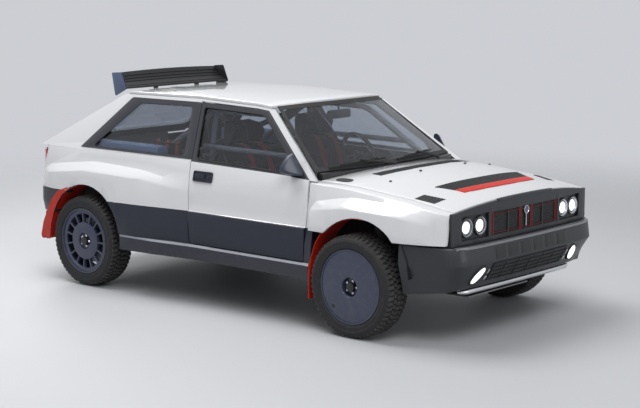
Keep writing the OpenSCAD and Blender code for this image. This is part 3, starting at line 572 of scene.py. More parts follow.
# the camera, the floor and the lights come first
view = {"place": (7.38726, -8.32112, 2.34779), "direction": (-0.646842, 0.746994, -0.15361), "lens": 90.107}
lamps = {"key": ((5.5, -4.5, 7.0), 290, 4.5), "top": ((-1.6, -0.9, 6.5), 330, 4.2),
         "back": ((-7.5, 4.0, 5.0), 150, 3.5), "nose": ((9.0, 1.5, 2.2), 60, 3.0)}
stageLook = {"floor": (0.6, 0.61, 0.63), "world": (0.6, 0.615, 0.645), "strength": 0.4, "reach": 14.0,
             "fade": (3.6, 9.0)}


def makeStage():
    camera = bpy.data.cameras.new("camera")
    camera.lens, camera.sensor_width, camera.sensor_fit = view["lens"], 36.0, "HORIZONTAL"
    camera.clip_end = 600
    holder = newObject("camera", camera)
    holder.location = view["place"]
    holder.rotation_euler = Vector(view["direction"]).to_track_quat("-Z", "Y").to_euler()
    scene.camera = holder
    for name, (place, power, size) in lamps.items():
        lamp = bpy.data.lights.new(name, "AREA")
        lamp.energy, lamp.size = power, size
        holder = newObject(name, lamp)
        holder.location = place
        holder.rotation_euler = (Vector((0, 0, 0.5)) - Vector(place)).to_track_quat("-Z", "Y").to_euler()
    reach = stageLook["reach"]
    floor = newObject("floor", Shape().grid([[(-reach, -reach, 0), (reach, -reach, 0)],
                                             [(-reach, reach, 0), (reach, reach, 0)]]).mesh("floor"))
    finish = Finish("floorPaint", stageLook["floor"], 0.55)
    finish.set("Roughness", 0.5 + finish.noise(0.8, 3) * 0.12)
    x, y = finish.axis("X"), finish.axis("Y")
    near, far = stageLook["fade"]
    finish.set("Alpha", 1 - (x * x + y * y).math("POWER", x * x + y * y, 0.5).step(near, far))
    floor.data.materials.append(finish.material)
    world = bpy.data.worlds.new("studio")
    scene.world = world
    world.use_nodes = True
    tree = world.node_tree
    back = tree.nodes["Background"]
    back.inputs["Color"].default_value = (*stageLook["world"], 1)
    rays = tree.nodes.new("ShaderNodeLightPath")
    seen = tree.nodes.new("ShaderNodeMapRange")
    seen.inputs["To Min"].default_value = stageLook["strength"]
    seen.inputs["To Max"].default_value = 1.0
    last = rays.outputs["Is Camera Ray"]
    for label in ("Is Glossy Ray", "Is Transmission Ray"):
        either = tree.nodes.new("ShaderNodeMath")
        either.operation = "MAXIMUM"
        tree.links.new(last, either.inputs[0])
        tree.links.new(rays.outputs[label], either.inputs[1])
        last = either.outputs[0]
    tree.links.new(last, seen.inputs["Value"])
    scene.view_settings.view_transform = "Standard"
    tree.links.new(seen.outputs[0], back.inputs["Strength"])


makeStage()
print("stage ready")


# which look a face takes: the outer one, a window frame, or the dark lining that faces the cabin
def inward(centre, normal):
    return normal.y * math.copysign(1, centre.y) < -0.35


def doorSplit(centre, normal):
    if centre.z > belt(centre.x) + 0.002:
        return 1
    return 2 if inward(centre, normal) else 0


def sideSplit(centre, normal):
    return 1 if inward(centre, normal) else 0


def roofSplit(centre, normal):
    return 1 if normal.z < -0.35 else 0


def tailgateSplit(centre, normal):
    return 1 if normal.z * 0.87 - normal.x * 0.5 < -0.5 else 0


# node, piece, look, width and angle of the rounded edges
plainPanels = [("tail_panel", "tail.skin", "paint", 0.0025, 24),
               ("sills", "sill.covers", "cladding", 0.0015, 24),
               ("front_bumper", "front.bumper.skin", "grey", 0.003, 20),
               ("rear_bumper", "rear.bumper.skin", "grey", 0.003, 20),
               ("front_panel", "front.panel.skin", "grey", 0.002, 24),
               ("scuttle", "scuttle.cover", "black", 0.001, 24),
               ("mud_flaps", "mud.flaps", "flap", 0.0015, 24)]


def makePanels():
    for side in ("left", "right"):
        panelFrom(side + "_door", side + ".door.skin", "twoTone", lining=["frameBlack", "dash"],
                  split=doorSplit, body=side + "_door")
        for part, look, width, lining in (("quarter", "twoTone", 0.0025, "dash"),
                                          ("fender", "paint", 0.0025, "black"),
                                          ("side_frame", "paint", 0.003, "dash")):
            panelFrom(side + "_" + part, side + "." + part.replace("side_", "") + ".skin", look, width,
                      lining=[lining], split=sideSplit)
    panelFrom("roof", "roof.skin", "paint", 0.004, 30, ["dash"], roofSplit)
    panelFrom("bonnet", "bonnet.skin", "paint", 0.004, 30, body="bonnet")
    panelFrom("tailgate", "tailgate.skin", "paint", 0.003, 24, ["dash"], tailgateSplit, "tailgate")
    for row in plainPanels:
        panelFrom(*row)


makePanels()
print("body panels ready")

wheel = {"tyreR": 0.3235, "rimR": 0.2355, "halfW": 0.1025, "face": 0.0905, "coverHole": 0.06, "spokes": 15,
         "nuts": 5, "nutCircle": 0.04, "nutR": 0.0095, "treadUnits": 58, "treadDepth": 0.0152,
         "shoulder": 0.074, "valve": (-0.13, 0.0877, -0.135)}
# tread lugs: from and to across the tread, from and to around it in units, slant, drop at the shoulder
lugs = [(-0.017, 0.015, 0.08, 0.86, 4, 0), (0.021, 0.048, -0.28, 0.46, -5, 0),
        (-0.051, -0.023, 0.2, 0.92, -5, 0), (0.053, 0.09, 0.1, 0.8, 2, 0.007),
        (-0.09, -0.057, -0.36, 0.36, 2, 0.007)]


def treadUnit():
    unit = Shape()
    top = wheel["tyreR"] - 0.0003
    pitch = 2 * math.pi / wheel["treadUnits"]
    for w0, w1, a0, a1, slant, drop in lugs:
        middle = (w0 + w1) / 2
        rows = []
        for radius, shrink in ((top - wheel["treadDepth"], 0.0), (top, 0.0022)):
            ring = []
            for w, a in ((w0, a0), (w1, a0), (w1, a1), (w0, a1)):
                r = radius - (drop if abs(w) > wheel["shoulder"] else 0)
                angle = (a + slant * (w - middle)) * pitch + (1 if a == a0 else -1) * shrink / r
                ring.append((r * math.sin(angle), w + (shrink if w < middle else -shrink),
                             r * math.cos(angle)))
            rows.append(ring)
        unit.solid(rows)
    return unit


# a shape built around the origin, put on the wheel at a corner such as "front_left"
def wheelPiece(shape, corner, part, look, **more):
    side = -1 if corner.endswith("right") else 1
    if side < 0:
        shape.flipped()
    shape.moved((car["frontX" if corner.startswith("front") else "rearX"], side * car["wheelY"], car["hubZ"]))
    shape.piece(corner + "." + part, look, corner + "_wheel", **more)


def makeTyre(corner):
    top, bead, half = wheel["tyreR"] - 0.0085, wheel["rimR"] + 0.0005, wheel["halfW"]
    edge = [(bead, 0.08), (bead + 0.004, 0.091), (bead + 0.01, 0.0955), (bead + 0.016, 0.0965),
            (bead + 0.019, 0.0985), (bead + 0.023, 0.0985), (bead + 0.026, 0.0975),
            (bead + 0.043, half - 0.002), (bead + 0.046, half), (bead + 0.05, half),
            (bead + 0.053, half - 0.002), (bead + 0.062, half - 0.005), (top - 0.01, 0.091),
            (top - 0.003, 0.084), (top, 0.072)]
    profile = edge + [(r, -w) for r, w in reversed(edge)]
    wheelPiece(repeated(treadUnit(), wheel["treadUnits"], "tread"), corner, "tyre.tread", "tread", angle=34)
    wheelPiece(Shape().lathe(profile, 120), corner, "tyre.carcass", "tyre", replaced=[corner + "_tyre"],
               angle=34)


def makeHub(corner, w):
    nut, r = wheel["nutCircle"], wheel["nutR"]
    unit = Shape().solid([[(nut + r * s * math.cos(a), w + h, r * s * math.sin(a)) for a in circle(6)]
                          for s, h in ((1.0, 0.0), (1.0, 0.0112), (0.75, 0.014), (0.5, 0.014),
                                       (0.45, 0.0098))])
    wheelPiece(repeated(unit, wheel["nuts"], "bright"), corner, "wheel.nuts", "bright")
    cap = Shape().lathe([(0.0005, 0.089), (0.022, 0.089), (0.029, 0.0865), (0.03, 0.08), (0.03, w),
                         (0.0286, w), (0.0286, 0.0868), (0.0005, 0.0872)], 40)
    wheelPiece(cap, corner, "hub.cap", "black", angle=35)
    disc = Shape().lathe([(0.075, 0.004), (0.16, 0.004), (0.162, 0.002), (0.162, -0.018), (0.16, -0.02),
                          (0.075, -0.02)], 72)
    disc.lathe([(0.0285, 0.006), (0.078, 0.006), (0.08, 0.003), (0.08, -0.024), (0.0285, -0.024)], 48)
    wheelPiece(disc, corner, "brake.disc", "cast")


# a closed profile whose second values are measured from the wheel's face
def fromFace(profile):
    return [(r, wheel["face"] + w) for r, w in profile]


def barrel():
    r, back = wheel["rimR"], -2 * wheel["face"]
    return Shape().lathe(fromFace([
        (r, back), (r, back + 0.012), (r - 0.01, back + 0.018), (r - 0.012, -0.022), (r - 0.001, -0.012),
        (r, 0), (r - 0.004, 0.0015), (r - 0.009, -0.001), (r - 0.012, -0.014), (r - 0.022, -0.024),
        (r - 0.024, back + 0.02), (r - 0.014, back)]), 120)


# the front wheels carry a flat cover with a row of small studs
def makeFrontWheel(corner):
    face, hole = wheel["face"], wheel["coverHole"]
    rim = barrel()
    rim.lathe(fromFace([(0.008, -0.03), (0.054, -0.03), (0.06, -0.034), (0.21, -0.05), (0.214, -0.056),
                        (0.1, -0.056), (0.03, -0.06), (0.0285, -0.036), (0.008, -0.036)]), 72)
    rim.lathe(fromFace([(0.2285, -0.01), (0.2275, -0.006), (0.222, -0.0035), (0.205, -0.001), (0.15, 0.0015),
                        (0.1, 0.003), (hole + 0.012, 0.0034), (hole + 0.004, 0.0028), (hole, -0.001),
                        (hole - 0.002, -0.028), (hole + 0.001, -0.028), (hole + 0.005, -0.004),
                        (0.15, -0.003), (0.21, -0.007), (0.22, -0.013)]), 120)
    stud = Shape().solid([[(0.215 + 0.0035 * s * math.cos(a), face - 0.0012 + h, 0.0035 * s * math.sin(a))
                           for a in circle(8)]
                          for s, h in ((1.0, -0.006), (1.0, -0.001), (0.7, 0.0), (0.2, 0.0004))])
    rim.include(repeated(stud, 15, "rim"))
    wheelPiece(rim, corner, "rim.cover", "rim", replaced=[corner + "_rim"], angle=28)
    valve = Shape().lathe([(0.0005, 0.0), (0.0095, 0.0), (0.0115, 0.0012), (0.0115, 0.004),
                           (0.0005, 0.004)], 24)
    wheelPiece(valve.moved(wheel["valve"]), corner, "valve.hole", "black")
    makeHub(corner, face - 0.03)


def makeRearWheel(corner):
    face = wheel["face"]
    rim = barrel()
    rim.lathe(fromFace([(0.195, -0.014), (0.199, -0.009), (0.212, -0.009), (0.226, -0.01), (0.226, -0.03),
                        (0.197, -0.03)]), 120)
    rim.lathe(fromFace([(0.004, -0.026), (0.05, -0.026), (0.056, -0.024), (0.06, -0.01), (0.064, -0.0075),
                        (0.126, -0.009), (0.134, -0.012), (0.136, -0.02), (0.134, -0.036), (0.06, -0.052),
                        (0.03, -0.072), (0.0285, -0.034), (0.004, -0.034)]), 96)
    spoke = Shape().solid([[(r, face - drop, w) for drop, w in (
        (0.036, -half), (0.014, -half), (0.0115, 0.0022 - half), (0.0115, half - 0.0022), (0.014, half),
        (0.036, half))]
        for r, half in ((0.128, 0.0068), (0.15, 0.006), (0.18, 0.0066), (0.2, 0.01), (0.206, 0.0135))])
    rim.include(repeated(spoke, wheel["spokes"], "rim"))
    wheelPiece(rim, corner, "rim.spoked", "rim", replaced=[corner + "_rim"], angle=28)
    makeHub(corner, face - 0.026)


for side in ("left", "right"):
    makeTyre("front_" + side)
    makeTyre("rear_" + side)
    makeFrontWheel("front_" + side)
    makeRearWheel("rear_" + side)
print("wheels ready")

facingFront = turn(-90, "Z")
# lamps: across from the middle, height, radius; the grille's half width and its lowest and highest edge
front = {"lampY": (0.46, 0.588), "lampZ": 0.731, "lampR": 0.059, "grilleHalf": 0.3715,
         "grilleZ": (0.6563, 0.8057), "discZ": 0.778}


# a slab that follows the nose from y0 to y1 and z0 to z1, "depth" behind the nose line
def noseSlab(shape, y0, y1, z0, z1, depth, thick, steps=12):
    rows = []
    for y in between(y0, y1, steps):
        x = noseX(y) - depth
        rows.append([(x, y, z0), (x, y, z1), (x - thick, y, z1), (x - thick, y, z0)])
    return shape.solid(rows)


# piece, look, profile; the reflector is a ring around the lit dome
def lampParts(r):
    return [("reflectors", "bright", [(0.039, -0.011), (0.047, -0.005), (r - 0.0035, 0.001),
                                      (r - 0.0035, -0.002), (0.047, -0.01), (0.039, -0.015)]),
            ("housings", "black", [(0.004, -0.03), (0.045, -0.026), (r, -0.006), (r + 0.003, -0.002),
                                   (r + 0.005, -0.006), (0.048, -0.032), (0.004, -0.034)]),
            ("rims", "steel", [(r - 0.003, 0.0), (r - 0.002, 0.005), (r + 0.001, 0.006), (r + 0.003, 0.003),
                               (r + 0.003, -0.004), (r - 0.003, -0.004)]),
            ("lenses", "lens", [(0.0005, 0.012), (0.02, 0.0112), (0.04, 0.0085), (r - 0.0035, 0.004),
                                (r - 0.0035, 0.002), (0.04, 0.0065), (0.0005, 0.01)]),
            ("lights", "lit", [(0.0005, 0.003), (0.02, 0.002), (0.032, -0.001), (0.038, -0.005),
                               (0.039, -0.01), (0.0005, -0.012)])]


def makeHeadlamps():
    for part, look, profile in lampParts(front["lampR"]):
        shape = Shape()
        for y in front["lampY"]:
            ring = Shape().lathe(profile, 48).turned(facingFront)
            shape.include(ring.moved((noseX(y) - 0.014, y, front["lampZ"])))
        housing = part == "housings"
        if housing:
            noseSlab(shape, 0.384, 0.66, 0.648, 0.8142, 0.0184, 0.008)
        shape.bothSides().piece("headlamp." + part, look, replaced=["headlamps"] if housing else (),
                                angle=35 if housing else 30)


def makeGrille():
    z0, z1 = front["grilleZ"]
    half = front["grilleHalf"]
    noseSlab(Shape(), -half, half, z0, z1, 0.012, 0.004, 24).piece("grille.mesh", "net", replaced=["grille"])
    bars = Shape()
    for y in (-0.19, 0.0, 0.19):
        noseSlab(bars, y - 0.006, y + 0.006, z0, z1, 0.0045, 0.009, 2)
    for z in (z0 + 0.003, z1 - 0.003):
        noseSlab(bars, -half, half, z - 0.003, z + 0.003, 0.003, 0.01, 24)
    for y in (0.003 - half, half - 0.003):
        noseSlab(bars, y - 0.003, y + 0.003, z0, z1, 0.003, 0.01, 2)
    slat = noseSlab(Shape(), -half, half, z0 + 0.011, z0 + 0.0125, 0.0075, 0.006, 24)
    bars.include(repeated(slat, 10, "black", (0, 0, 0.0139)))
    bars.piece("grille.slats", "black")
    red = Shape()
    low, high, wide = z0 + 0.014, z1 - 0.02, half - 0.022
    for z in (low, high):
        noseSlab(red, -wide, wide, z - 0.0016, z + 0.0016, 0.0035, 0.004, 24)
    for y in (-wide, wide):
        noseSlab(red, y - 0.0016, y + 0.0016, low, high, 0.0035, 0.004, 1)
    for y in (-0.352, -0.062, 0.062, 0.352):
        for shift in (-0.01, 0.0, 0.01):
            noseSlab(red, y + shift - 0.003, y + shift + 0.003, z0 + 0.005, z1 - 0.005, 0.005, 0.004, 1)
    red.piece("grille.red.bars", "darkRed")
    place = (noseX(0) - 0.002, 0, front["discZ"])
    disc = Shape().lathe([(0.0005, 0.004), (0.019, 0.004), (0.021, 0.0025), (0.0215, -0.004),
                          (0.0005, -0.004)], 40)
    disc.turned(facingFront).moved(place).piece("grille.disc", "plate")
    ring = Shape().lathe([(0.0215, 0.003), (0.023, 0.0055), (0.0265, 0.0045), (0.0275, 0.001),
                          (0.0275, -0.004), (0.0215, -0.004)], 40)
    ring.turned(facingFront).moved(place)
    noseSlab(ring, -0.004, 0.004, z0 + 0.02, front["discZ"] - 0.027, 0.001, 0.008, 1)
    ring.piece("grille.disc.rim", "bright")


def makeLip():
    rows = []
    for y in between(-0.3, 0.3, 16):
        x, z = noseX(y), bonnetTop(noseX(0) - 0.01, y)
        rows.append([(x + dx, y, z + dz) for dx, dz in ((0.004, -0.012), (0.004, 0.002), (-0.004, 0.008),
                                                       (-0.017, 0.008), (-0.017, -0.012))])
    Shape().solid(rows).piece("front.panel.lip", "grey", bevel=0.002)


makeHeadlamps()
makeGrille()
makeLip()

# the bumper's sloping face from its low to its high edge, as (x, z), its fog lamps at (y, z), and how far
# the face falls back towards the corners
chin = {"high": (1.9485, 0.51), "low": (1.8765, 0.39), "fog": (0.523, 0.4355), "fogSlant": -0.42,
        "normal": Vector((0.857, 0.0, -0.514)), "intakeHalf": 0.405, "edgeHalf": 0.735,
        "drop": [(0.0, 0.0), (0.3, 0.004), (0.45, 0.007), (0.55, 0.011), (0.62, 0.017), (0.68, 0.028),
                 (0.74, 0.054)]}


# a point on the bumper's sloping lower face, "out" in front of it
def chinPoint(y, z, out):
    (x0, z0), (x1, z1) = chin["low"], chin["high"]
    slope = (x1 - x0) / (z1 - z0)
    return Vector((x0 + slope * (z - z0) - along(abs(y), chin["drop"]), y, z)) + chin["normal"] * out


# the same on its upright upper face
def facePoint(y, z, out):
    return Vector((chin["high"][0] - 0.1125 * max(0.0, z - 0.53) - along(abs(y), chin["drop"]) + out, y, z))


def bumperSlab(shape, place, y0, y1, z0, z1, out, thick, steps=12):
    return shape.solid([[place(y, z0, out), place(y, z1, out), place(y, z1, out - thick),
                         place(y, z0, out - thick)]
                        for y in between(y0, y1, steps)])


# an oval fog lamp: half width, half height and depth of each row, from back to front
def fogShape(*rows):
    fogY, fogZ = chin["fog"]
    return Shape().solid([[chinPoint(fogY + wide * math.cos(a) + high * math.sin(a) * chin["fogSlant"],
                                     fogZ + high * math.sin(a), out) for a in circle(32)]
                          for wide, high, out in rows]).bothSides()


def makeChin():
    rims = fogShape((0.05, 0.062, -0.004), (0.048, 0.06, 0.006), (0.042, 0.054, 0.007), (0.04, 0.052, 0.001))
    rims.piece("fog.lamp.rims", "black", replaced=["fog_lamps"])
    domes = fogShape((0.038, 0.05, 0.001), (0.036, 0.048, 0.0062), (0.02, 0.027, 0.0085),
                     (0.004, 0.005, 0.009))
    domes.piece("fog.lamp.lights", "lit")
    fins, recess, edge, chrome = Shape(), Shape(), Shape(), Shape()
    half, edgeHalf = chin["intakeHalf"], chin["edgeHalf"]
    intake = bumperSlab(Shape(), chinPoint, -half, half, 0.386, 0.5, 0.0025, 0.004, 24)
    for z in between(0.39, 0.496, 4):
        bumperSlab(fins, chinPoint, -half, half, z - 0.0018, z + 0.0018, 0.008, 0.008, 24)
    for y in between(-half, half, 6):
        bumperSlab(fins, chinPoint, y - 0.003, y + 0.003, 0.388, 0.498, 0.007, 0.007, 1)
    for y in between(-0.395, 0.2775, 5):
        bumperSlab(recess, facePoint, y, y + 0.1175, 0.524, 0.598, 0.0022, 0.004, 4)
    bumperSlab(fins, facePoint, -0.412, 0.412, 0.518, 0.6045, 0.0008, 0.003, 24)
    # the light grey strip along the bumper's top edge: painted highlight
    bumperSlab(edge, facePoint, -edgeHalf, edgeHalf, 0.612, 0.6265, 0.0025, 0.006, 40)
    bumperSlab(edge, facePoint, -edgeHalf, edgeHalf, 0.6265, 0.629, -0.005, 0.012, 40)
    for y in (-0.437, 0.437):
        bumperSlab(chrome, chinPoint, y - 0.009, y + 0.009, 0.4, 0.425, 0.008, 0.008, 1)
        bumperSlab(chrome, chinPoint, y - 0.006, y + 0.006, 0.44, 0.47, 0.007, 0.007, 1)
    intake.piece("intake.mesh", "net")
    fins.piece("intake.fins", "grey", slot="black_plastic")
    recess.piece("bumper.recess.panels", "black", bevel=0.0012)
    edge.piece("bumper.top.painted.highlight", "edge", bevel=0.001)
    chrome.piece("bumper.hooks", "bright", bevel=0.0015)
    arm = [(1.8, -0.6, 0.33), (1.82, -0.585, 0.33), (1.832, -0.55, 0.33), (1.838, -0.3, 0.33)]
    points = arm + [(1.84, 0.0, 0.33)] + [(x, -y, z) for x, y, z in reversed(arm)]
    bar = Shape().tube(points, [0.008, 0.012] + [0.0165] * 5 + [0.012, 0.008], 18)
    for y in (-0.56, -0.315, 0.315, 0.56):
        bar.block((1.8, y, 0.334), (0.075, 0.028, 0.01))
    bar.piece("guard.tube", "bright", replaced=["guard_bar"], bevel=0.001)


makeChin()
print("front ready")


# a thin slab on the bonnet between a rear and a front edge, each from (x, y) to (x, y);
# "bow" pushes the middle of both forwards
def bonnetSlab(shape, rear, ahead, lift, thick, steps=28, bow=0.0):
    rows = []
    for i in range(steps + 1):
        t = i / steps
        shift = Vector((bow * (1 - (2 * t - 1) ** 2), 0))
        a, b = (Vector(line[0]).lerp(Vector(line[1]), t) + shift for line in (rear, ahead))
        top = [(p.x, p.y, bonnetTop(p.x, p.y) + lift) for p in (a.lerp(b, k / 4) for k in range(5))]
        rows.append(top + [(x, y, z - thick) for x, y, z in reversed(top)])
    return shape.solid(rows)


# the same across the middle: each edge runs from -y to y
def acrossSlab(shape, x0, y0, x1, y1, lift, thick, bow):
    return bonnetSlab(shape, [(x0, -y0), (x0, y0)], [(x1, -y1), (x1, y1)], lift, thick, bow=bow)


vents = {"frontBow": 0.03, "rearBow": 0.08, "louvre": 0.004, "filler": (0.94, 0.637),
         "fillerHalf": (0.062, 0.033), "pins": [(1.24, 0.241), (1.23, 0.537)]}


def makeVents():
    slot, lips = Shape(), Shape()
    bow, rearBow, louvre = vents["frontBow"], vents["rearBow"], vents["louvre"]
    acrossSlab(slot, 1.52, 0.445, 1.628, 0.4, 0.0012, 0.004, bow)
    acrossSlab(lips, 1.514, 0.452, 1.522, 0.446, 0.0035, 0.006, bow)
    for k in range(6):
        x, y = 1.536 + 0.015 * k, 0.436 - 0.006 * k
        acrossSlab(lips, x, y, x + louvre, y - 0.002, 0.0032, 0.005, bow)
    acrossSlab(slot, 1.02, 0.455, 1.098, 0.47, 0.0012, 0.004, rearBow)
    for k in range(5):
        x = 1.018 + 0.018 * k
        acrossSlab(lips, x, 0.456, x + louvre, 0.457, 0.003, 0.005, rearBow)
    (fillerX, fillerY), (halfX, halfY) = vents["filler"], vents["fillerHalf"]
    for side in (1, -1):
        bonnetSlab(slot, [(1.54, side * 0.6), (1.53, side * 0.68)],
                   [(1.68, side * 0.566), (1.668, side * 0.664)], 0.0012, 0.004, 6)
        for k in range(6):
            x, y = 1.55 + 0.0215 * k, side * (0.598 - 0.0052 * k)
            far = y + side * 0.076
            bonnetSlab(lips, [(x, y), (x - 0.008, far)], [(x + 0.006, y), (x - 0.002, far)], 0.0032, 0.005, 4)
        oval = [(fillerX + halfX * math.copysign(abs(math.cos(a)) ** 0.6, math.cos(a)),
                 side * (fillerY + halfY * math.sin(a) - 0.075 * halfX * math.cos(a))) for a in circle(32)]
        slot.solid([[(x, y, bonnetTop(x, y) + lift) for x, y in oval] for lift in (0.0016, -0.003)])
        for x, y in vents["pins"]:
            pin = Shape().lathe([(0.0005, 0.006), (0.006, 0.0055), (0.01, 0.002), (0.01, -0.003),
                                 (0.0005, -0.003)], 20)
            lips.include(pin.turned(turn(90, "X")).moved((x, side * y, bonnetTop(x, y))))
    slot.piece("bonnet.vent.mesh", "net", "bonnet", angle=40)
    lips.piece("bonnet.vent.louvres", "black", "bonnet", angle=40)
    strip = acrossSlab(Shape(), 1.629, 0.398, 1.69, 0.385, 0.0035, 0.006, bow)
    strip.piece("bonnet.red.strip", "strip", "bonnet", bevel=0.001)


makeVents()

screen = {"footX": 0.88, "footDrop": 0.124, "headX": 0.253, "headCurve": 0.111, "headHalf": 0.5234,
          "roofHalf": 0.5666, "inset": 0.0337, "bulge": 0.009, "borderWidth": 0.0378}
# wipers: their pivot, then the blade from and to across the screen, then from and to up the screen
wiperLines = [(-0.1, -0.86, -0.16, 0.03, 0.075), (0.62, -0.02, 0.66, 0.035, 0.08)]


# a point on the windscreen: s across from -1 to 1, t from its foot to its head
def onScreen(s, t, out=0.0):
    footX, footZ = screen["footX"] - screen["footDrop"] * s * s, 0.99 - 0.01 * s * s
    curve = 1 - (s * screen["headHalf"] / screen["roofHalf"]) ** 2
    headX, headZ = screen["headX"] + screen["headCurve"] * curve, 1.371 - 0.012 * s * s
    z = footZ + (headZ - footZ) * t
    side = car["planeY"] - (z - car["beltZ"]) * math.tan(car["lean"]) - screen["inset"]
    x = footX + (headX - footX) * t + screen["bulge"] * math.sin(math.pi * t) * (1 - s * s)
    return Vector((x + 0.61 * out, s * side, z + 0.79 * out))


# a piece built for the left side, mirrored when it is the right side's
def sidePiece(shape, side, part, look, **more):
    if side == "right":
        shape.flipped()
    shape.piece(side + "." + part, look, **more)


# a ring on the leaning window plane between two outlines of (x, z)
def planeBand(outer, outerRound, inner, innerRound, out, thick):
    rings = [[onPlane(p.x, p.y, out) for p in rounded([(x, z, 0) for x, z in outline], radius)]
             for outline, radius in ((outer, outerRound), (inner, innerRound))]
    return Shape().band(*rings, planeOut * -thick)


quarterFrame = {"outer": [(-1.462, 0.978), (-0.322, 0.978), (-0.396, 1.349), (-1.088, 1.346)],
                "inner": [(-1.332, 0.994), (-0.402, 0.994), (-0.474, 1.32), (-0.984, 1.312)]}
doorSeal = {"outer": [(-0.286, 0.98), (0.597, 0.957), (0.5546, 1.044), (0.208, 1.309), (-0.361, 1.326)],
            "inner": [(-0.278, 0.989), (0.586, 0.966), (0.546, 1.04), (0.204, 1.3), (-0.354, 1.317)]}


def makeGlassTrim():
    around = [(s / 12, 0.0) for s in range(-12, 13)] + [(1.0, t / 8) for t in range(1, 8)] \
        + [(s / 12, 1.0) for s in range(12, -13, -1)] + [(-1.0, t / 8) for t in range(7, 0, -1)]
    inner = [(s * (1 - screen["borderWidth"]), 0.055 + t * 0.885) for s, t in around]
    rings = [[onScreen(s, t, 0.0012) for s, t in ring] for ring in (around, inner)]
    Shape().band(*rings, (0.001, 0, 0.0013)).piece("windscreen.border", "rubber")
    wipers = Shape()
    for pivot, s0, s1, t0, t1 in wiperLines:
        blade = [onScreen(s0 + (s1 - s0) * k / 12, t0 + (t1 - t0) * k / 12, 0.012) for k in range(13)]
        wipers.tube(blade, 0.0055, 8)
        wipers.tube([p + Vector((0.006, 0, 0.01)) for p in blade[2:-2]], 0.004, 8)
        base = onScreen(pivot, -0.055, 0.01)
        wipers.tube([base, base + Vector((0, 0, 0.014)), blade[6] + Vector((0.012, 0, 0.02)),
                     blade[6] + Vector((0.004, 0, 0.008))], [0.013, 0.011, 0.006, 0.005], 10)
    wipers.piece("wipers", "rubber", angle=40)
    for side in ("left", "right"):
        frameRing = planeBand(quarterFrame["outer"], 0.012, quarterFrame["inner"], 0.034, 0.0035, 0.006)
        sidePiece(frameRing, side, "quarter.window.frame", "frameBlack", bevel=0.0012)
        seal = planeBand(doorSeal["outer"], 0.026, doorSeal["inner"], 0.022, 0.003, 0.01)
        sidePiece(seal, side, "door.glass.seal", "rubber", body=side + "_door", bevel=0.001)


makeGlassTrim()

handle = {"place": (-0.178, 0.7805, 0.877), "tilt": 13.7, "half": 0.089, "z": (-0.038, 0.035), "rim": 0.011}
# mirror: rows of (y, back, front, low, high), the sail that joins it to the door, and the pane's corners
mirror = {"rows": [(0.768, 0.586, 0.712, 0.956, 1.098), (0.792, 0.582, 0.698, 0.958, 1.088),
                   (0.818, 0.578, 0.672, 0.964, 1.062), (0.842, 0.574, 0.642, 0.972, 1.03),
                   (0.852, 0.575, 0.618, 0.982, 1.01)],
          "sail": [(0.59, 0.953), (0.7, 0.953), (0.664, 0.985), (0.56, 1.062)],
          "arm": [(0.626, 0.749, 0.984), (0.618, 0.765, 0.988), (0.606, 0.79, 0.998)],
          "pane": [(0.5825, 0.786, 0.97), (0.5745, 0.838, 0.984), (0.5745, 0.838, 1.02),
                   (0.5825, 0.786, 1.074)]}


# a rounded outline in the plane y = depth
def upright(x0, x1, z0, z1, radius, depth=0.0):
    return rounded([(x0, depth, z0), (x1, depth, z0), (x1, depth, z1), (x0, depth, z1)], radius)


def makeHandle(side):
    half, (low, high), rim = handle["half"], handle["z"], handle["rim"]
    outer = upright(-half, half, low, high, 0.014)
    inner = (-half + rim, half - rim, low + 0.01, high - 0.01, 0.01)
    shape = Shape().band(outer, upright(*inner), (0, 0.01, 0)).prism(upright(*inner, 0.001), (0, 0.004, 0))
    shape.prism(upright(-0.07, 0.022, -0.014, 0.018, 0.007, 0.005), (0, 0.008, 0))
    lock = Shape().lathe([(0.0005, 0.009), (0.01, 0.009), (0.011, 0.007), (0.011, 0), (0.0005, 0)], 20)
    shape.include(lock.moved((0.056, 0, 0))).turned(turn(handle["tilt"], "X")).moved(handle["place"])
    sidePiece(shape, side, "handle", "cladding", body=side + "_door", slot="black_plastic", bevel=0.0008,
              angle=35)


def makeMirror(side):
    shell = Shape().prism([onPlane(x, z, -0.002) for x, z in mirror["sail"]], planeOut * 0.008)
    shell.solid([rounded([(back, y, low), (front, y, low + 0.004), (back + 0.034, y, high),
                          (back, y, high - 0.006)], 0.02)
                 for y, back, front, low, high in mirror["rows"]])
    shell.tube(mirror["arm"], [0.015, 0.016, 0.018], 14)
    sidePiece(shell, side, "mirror.housing", "mirrorBlue", body=side + "_door", replaced=[side + "_mirror"],
              angle=35)
    pane = Shape().prism(rounded(mirror["pane"], 0.012), (-0.0022, 0, 0))
    sidePiece(pane, side, "mirror.pane", "mirror", body=side + "_door", angle=35)


for side in ("left", "right"):
    makeHandle(side)
    makeMirror(side)
print("windows and doors ready")

wing = {"foot": (-1.212, 1.394), "half": 0.52, "arch": 0.01, "ribs": 4, "ribR": 0.0042,
        "struts": (-0.21, 0.21),
        "front": [(0.0, 0.0), (-0.03, 0.006), (-0.06, 0.014), (-0.09, 0.03), (-0.112, 0.052),
                  (-0.128, 0.076), (-0.142, 0.104)],
        "back": [(-0.132, 0.108), (-0.116, 0.082), (-0.1, 0.062), (-0.082, 0.044), (-0.056, 0.028),
                 (-0.028, 0.018), (-0.004, 0.012)]}


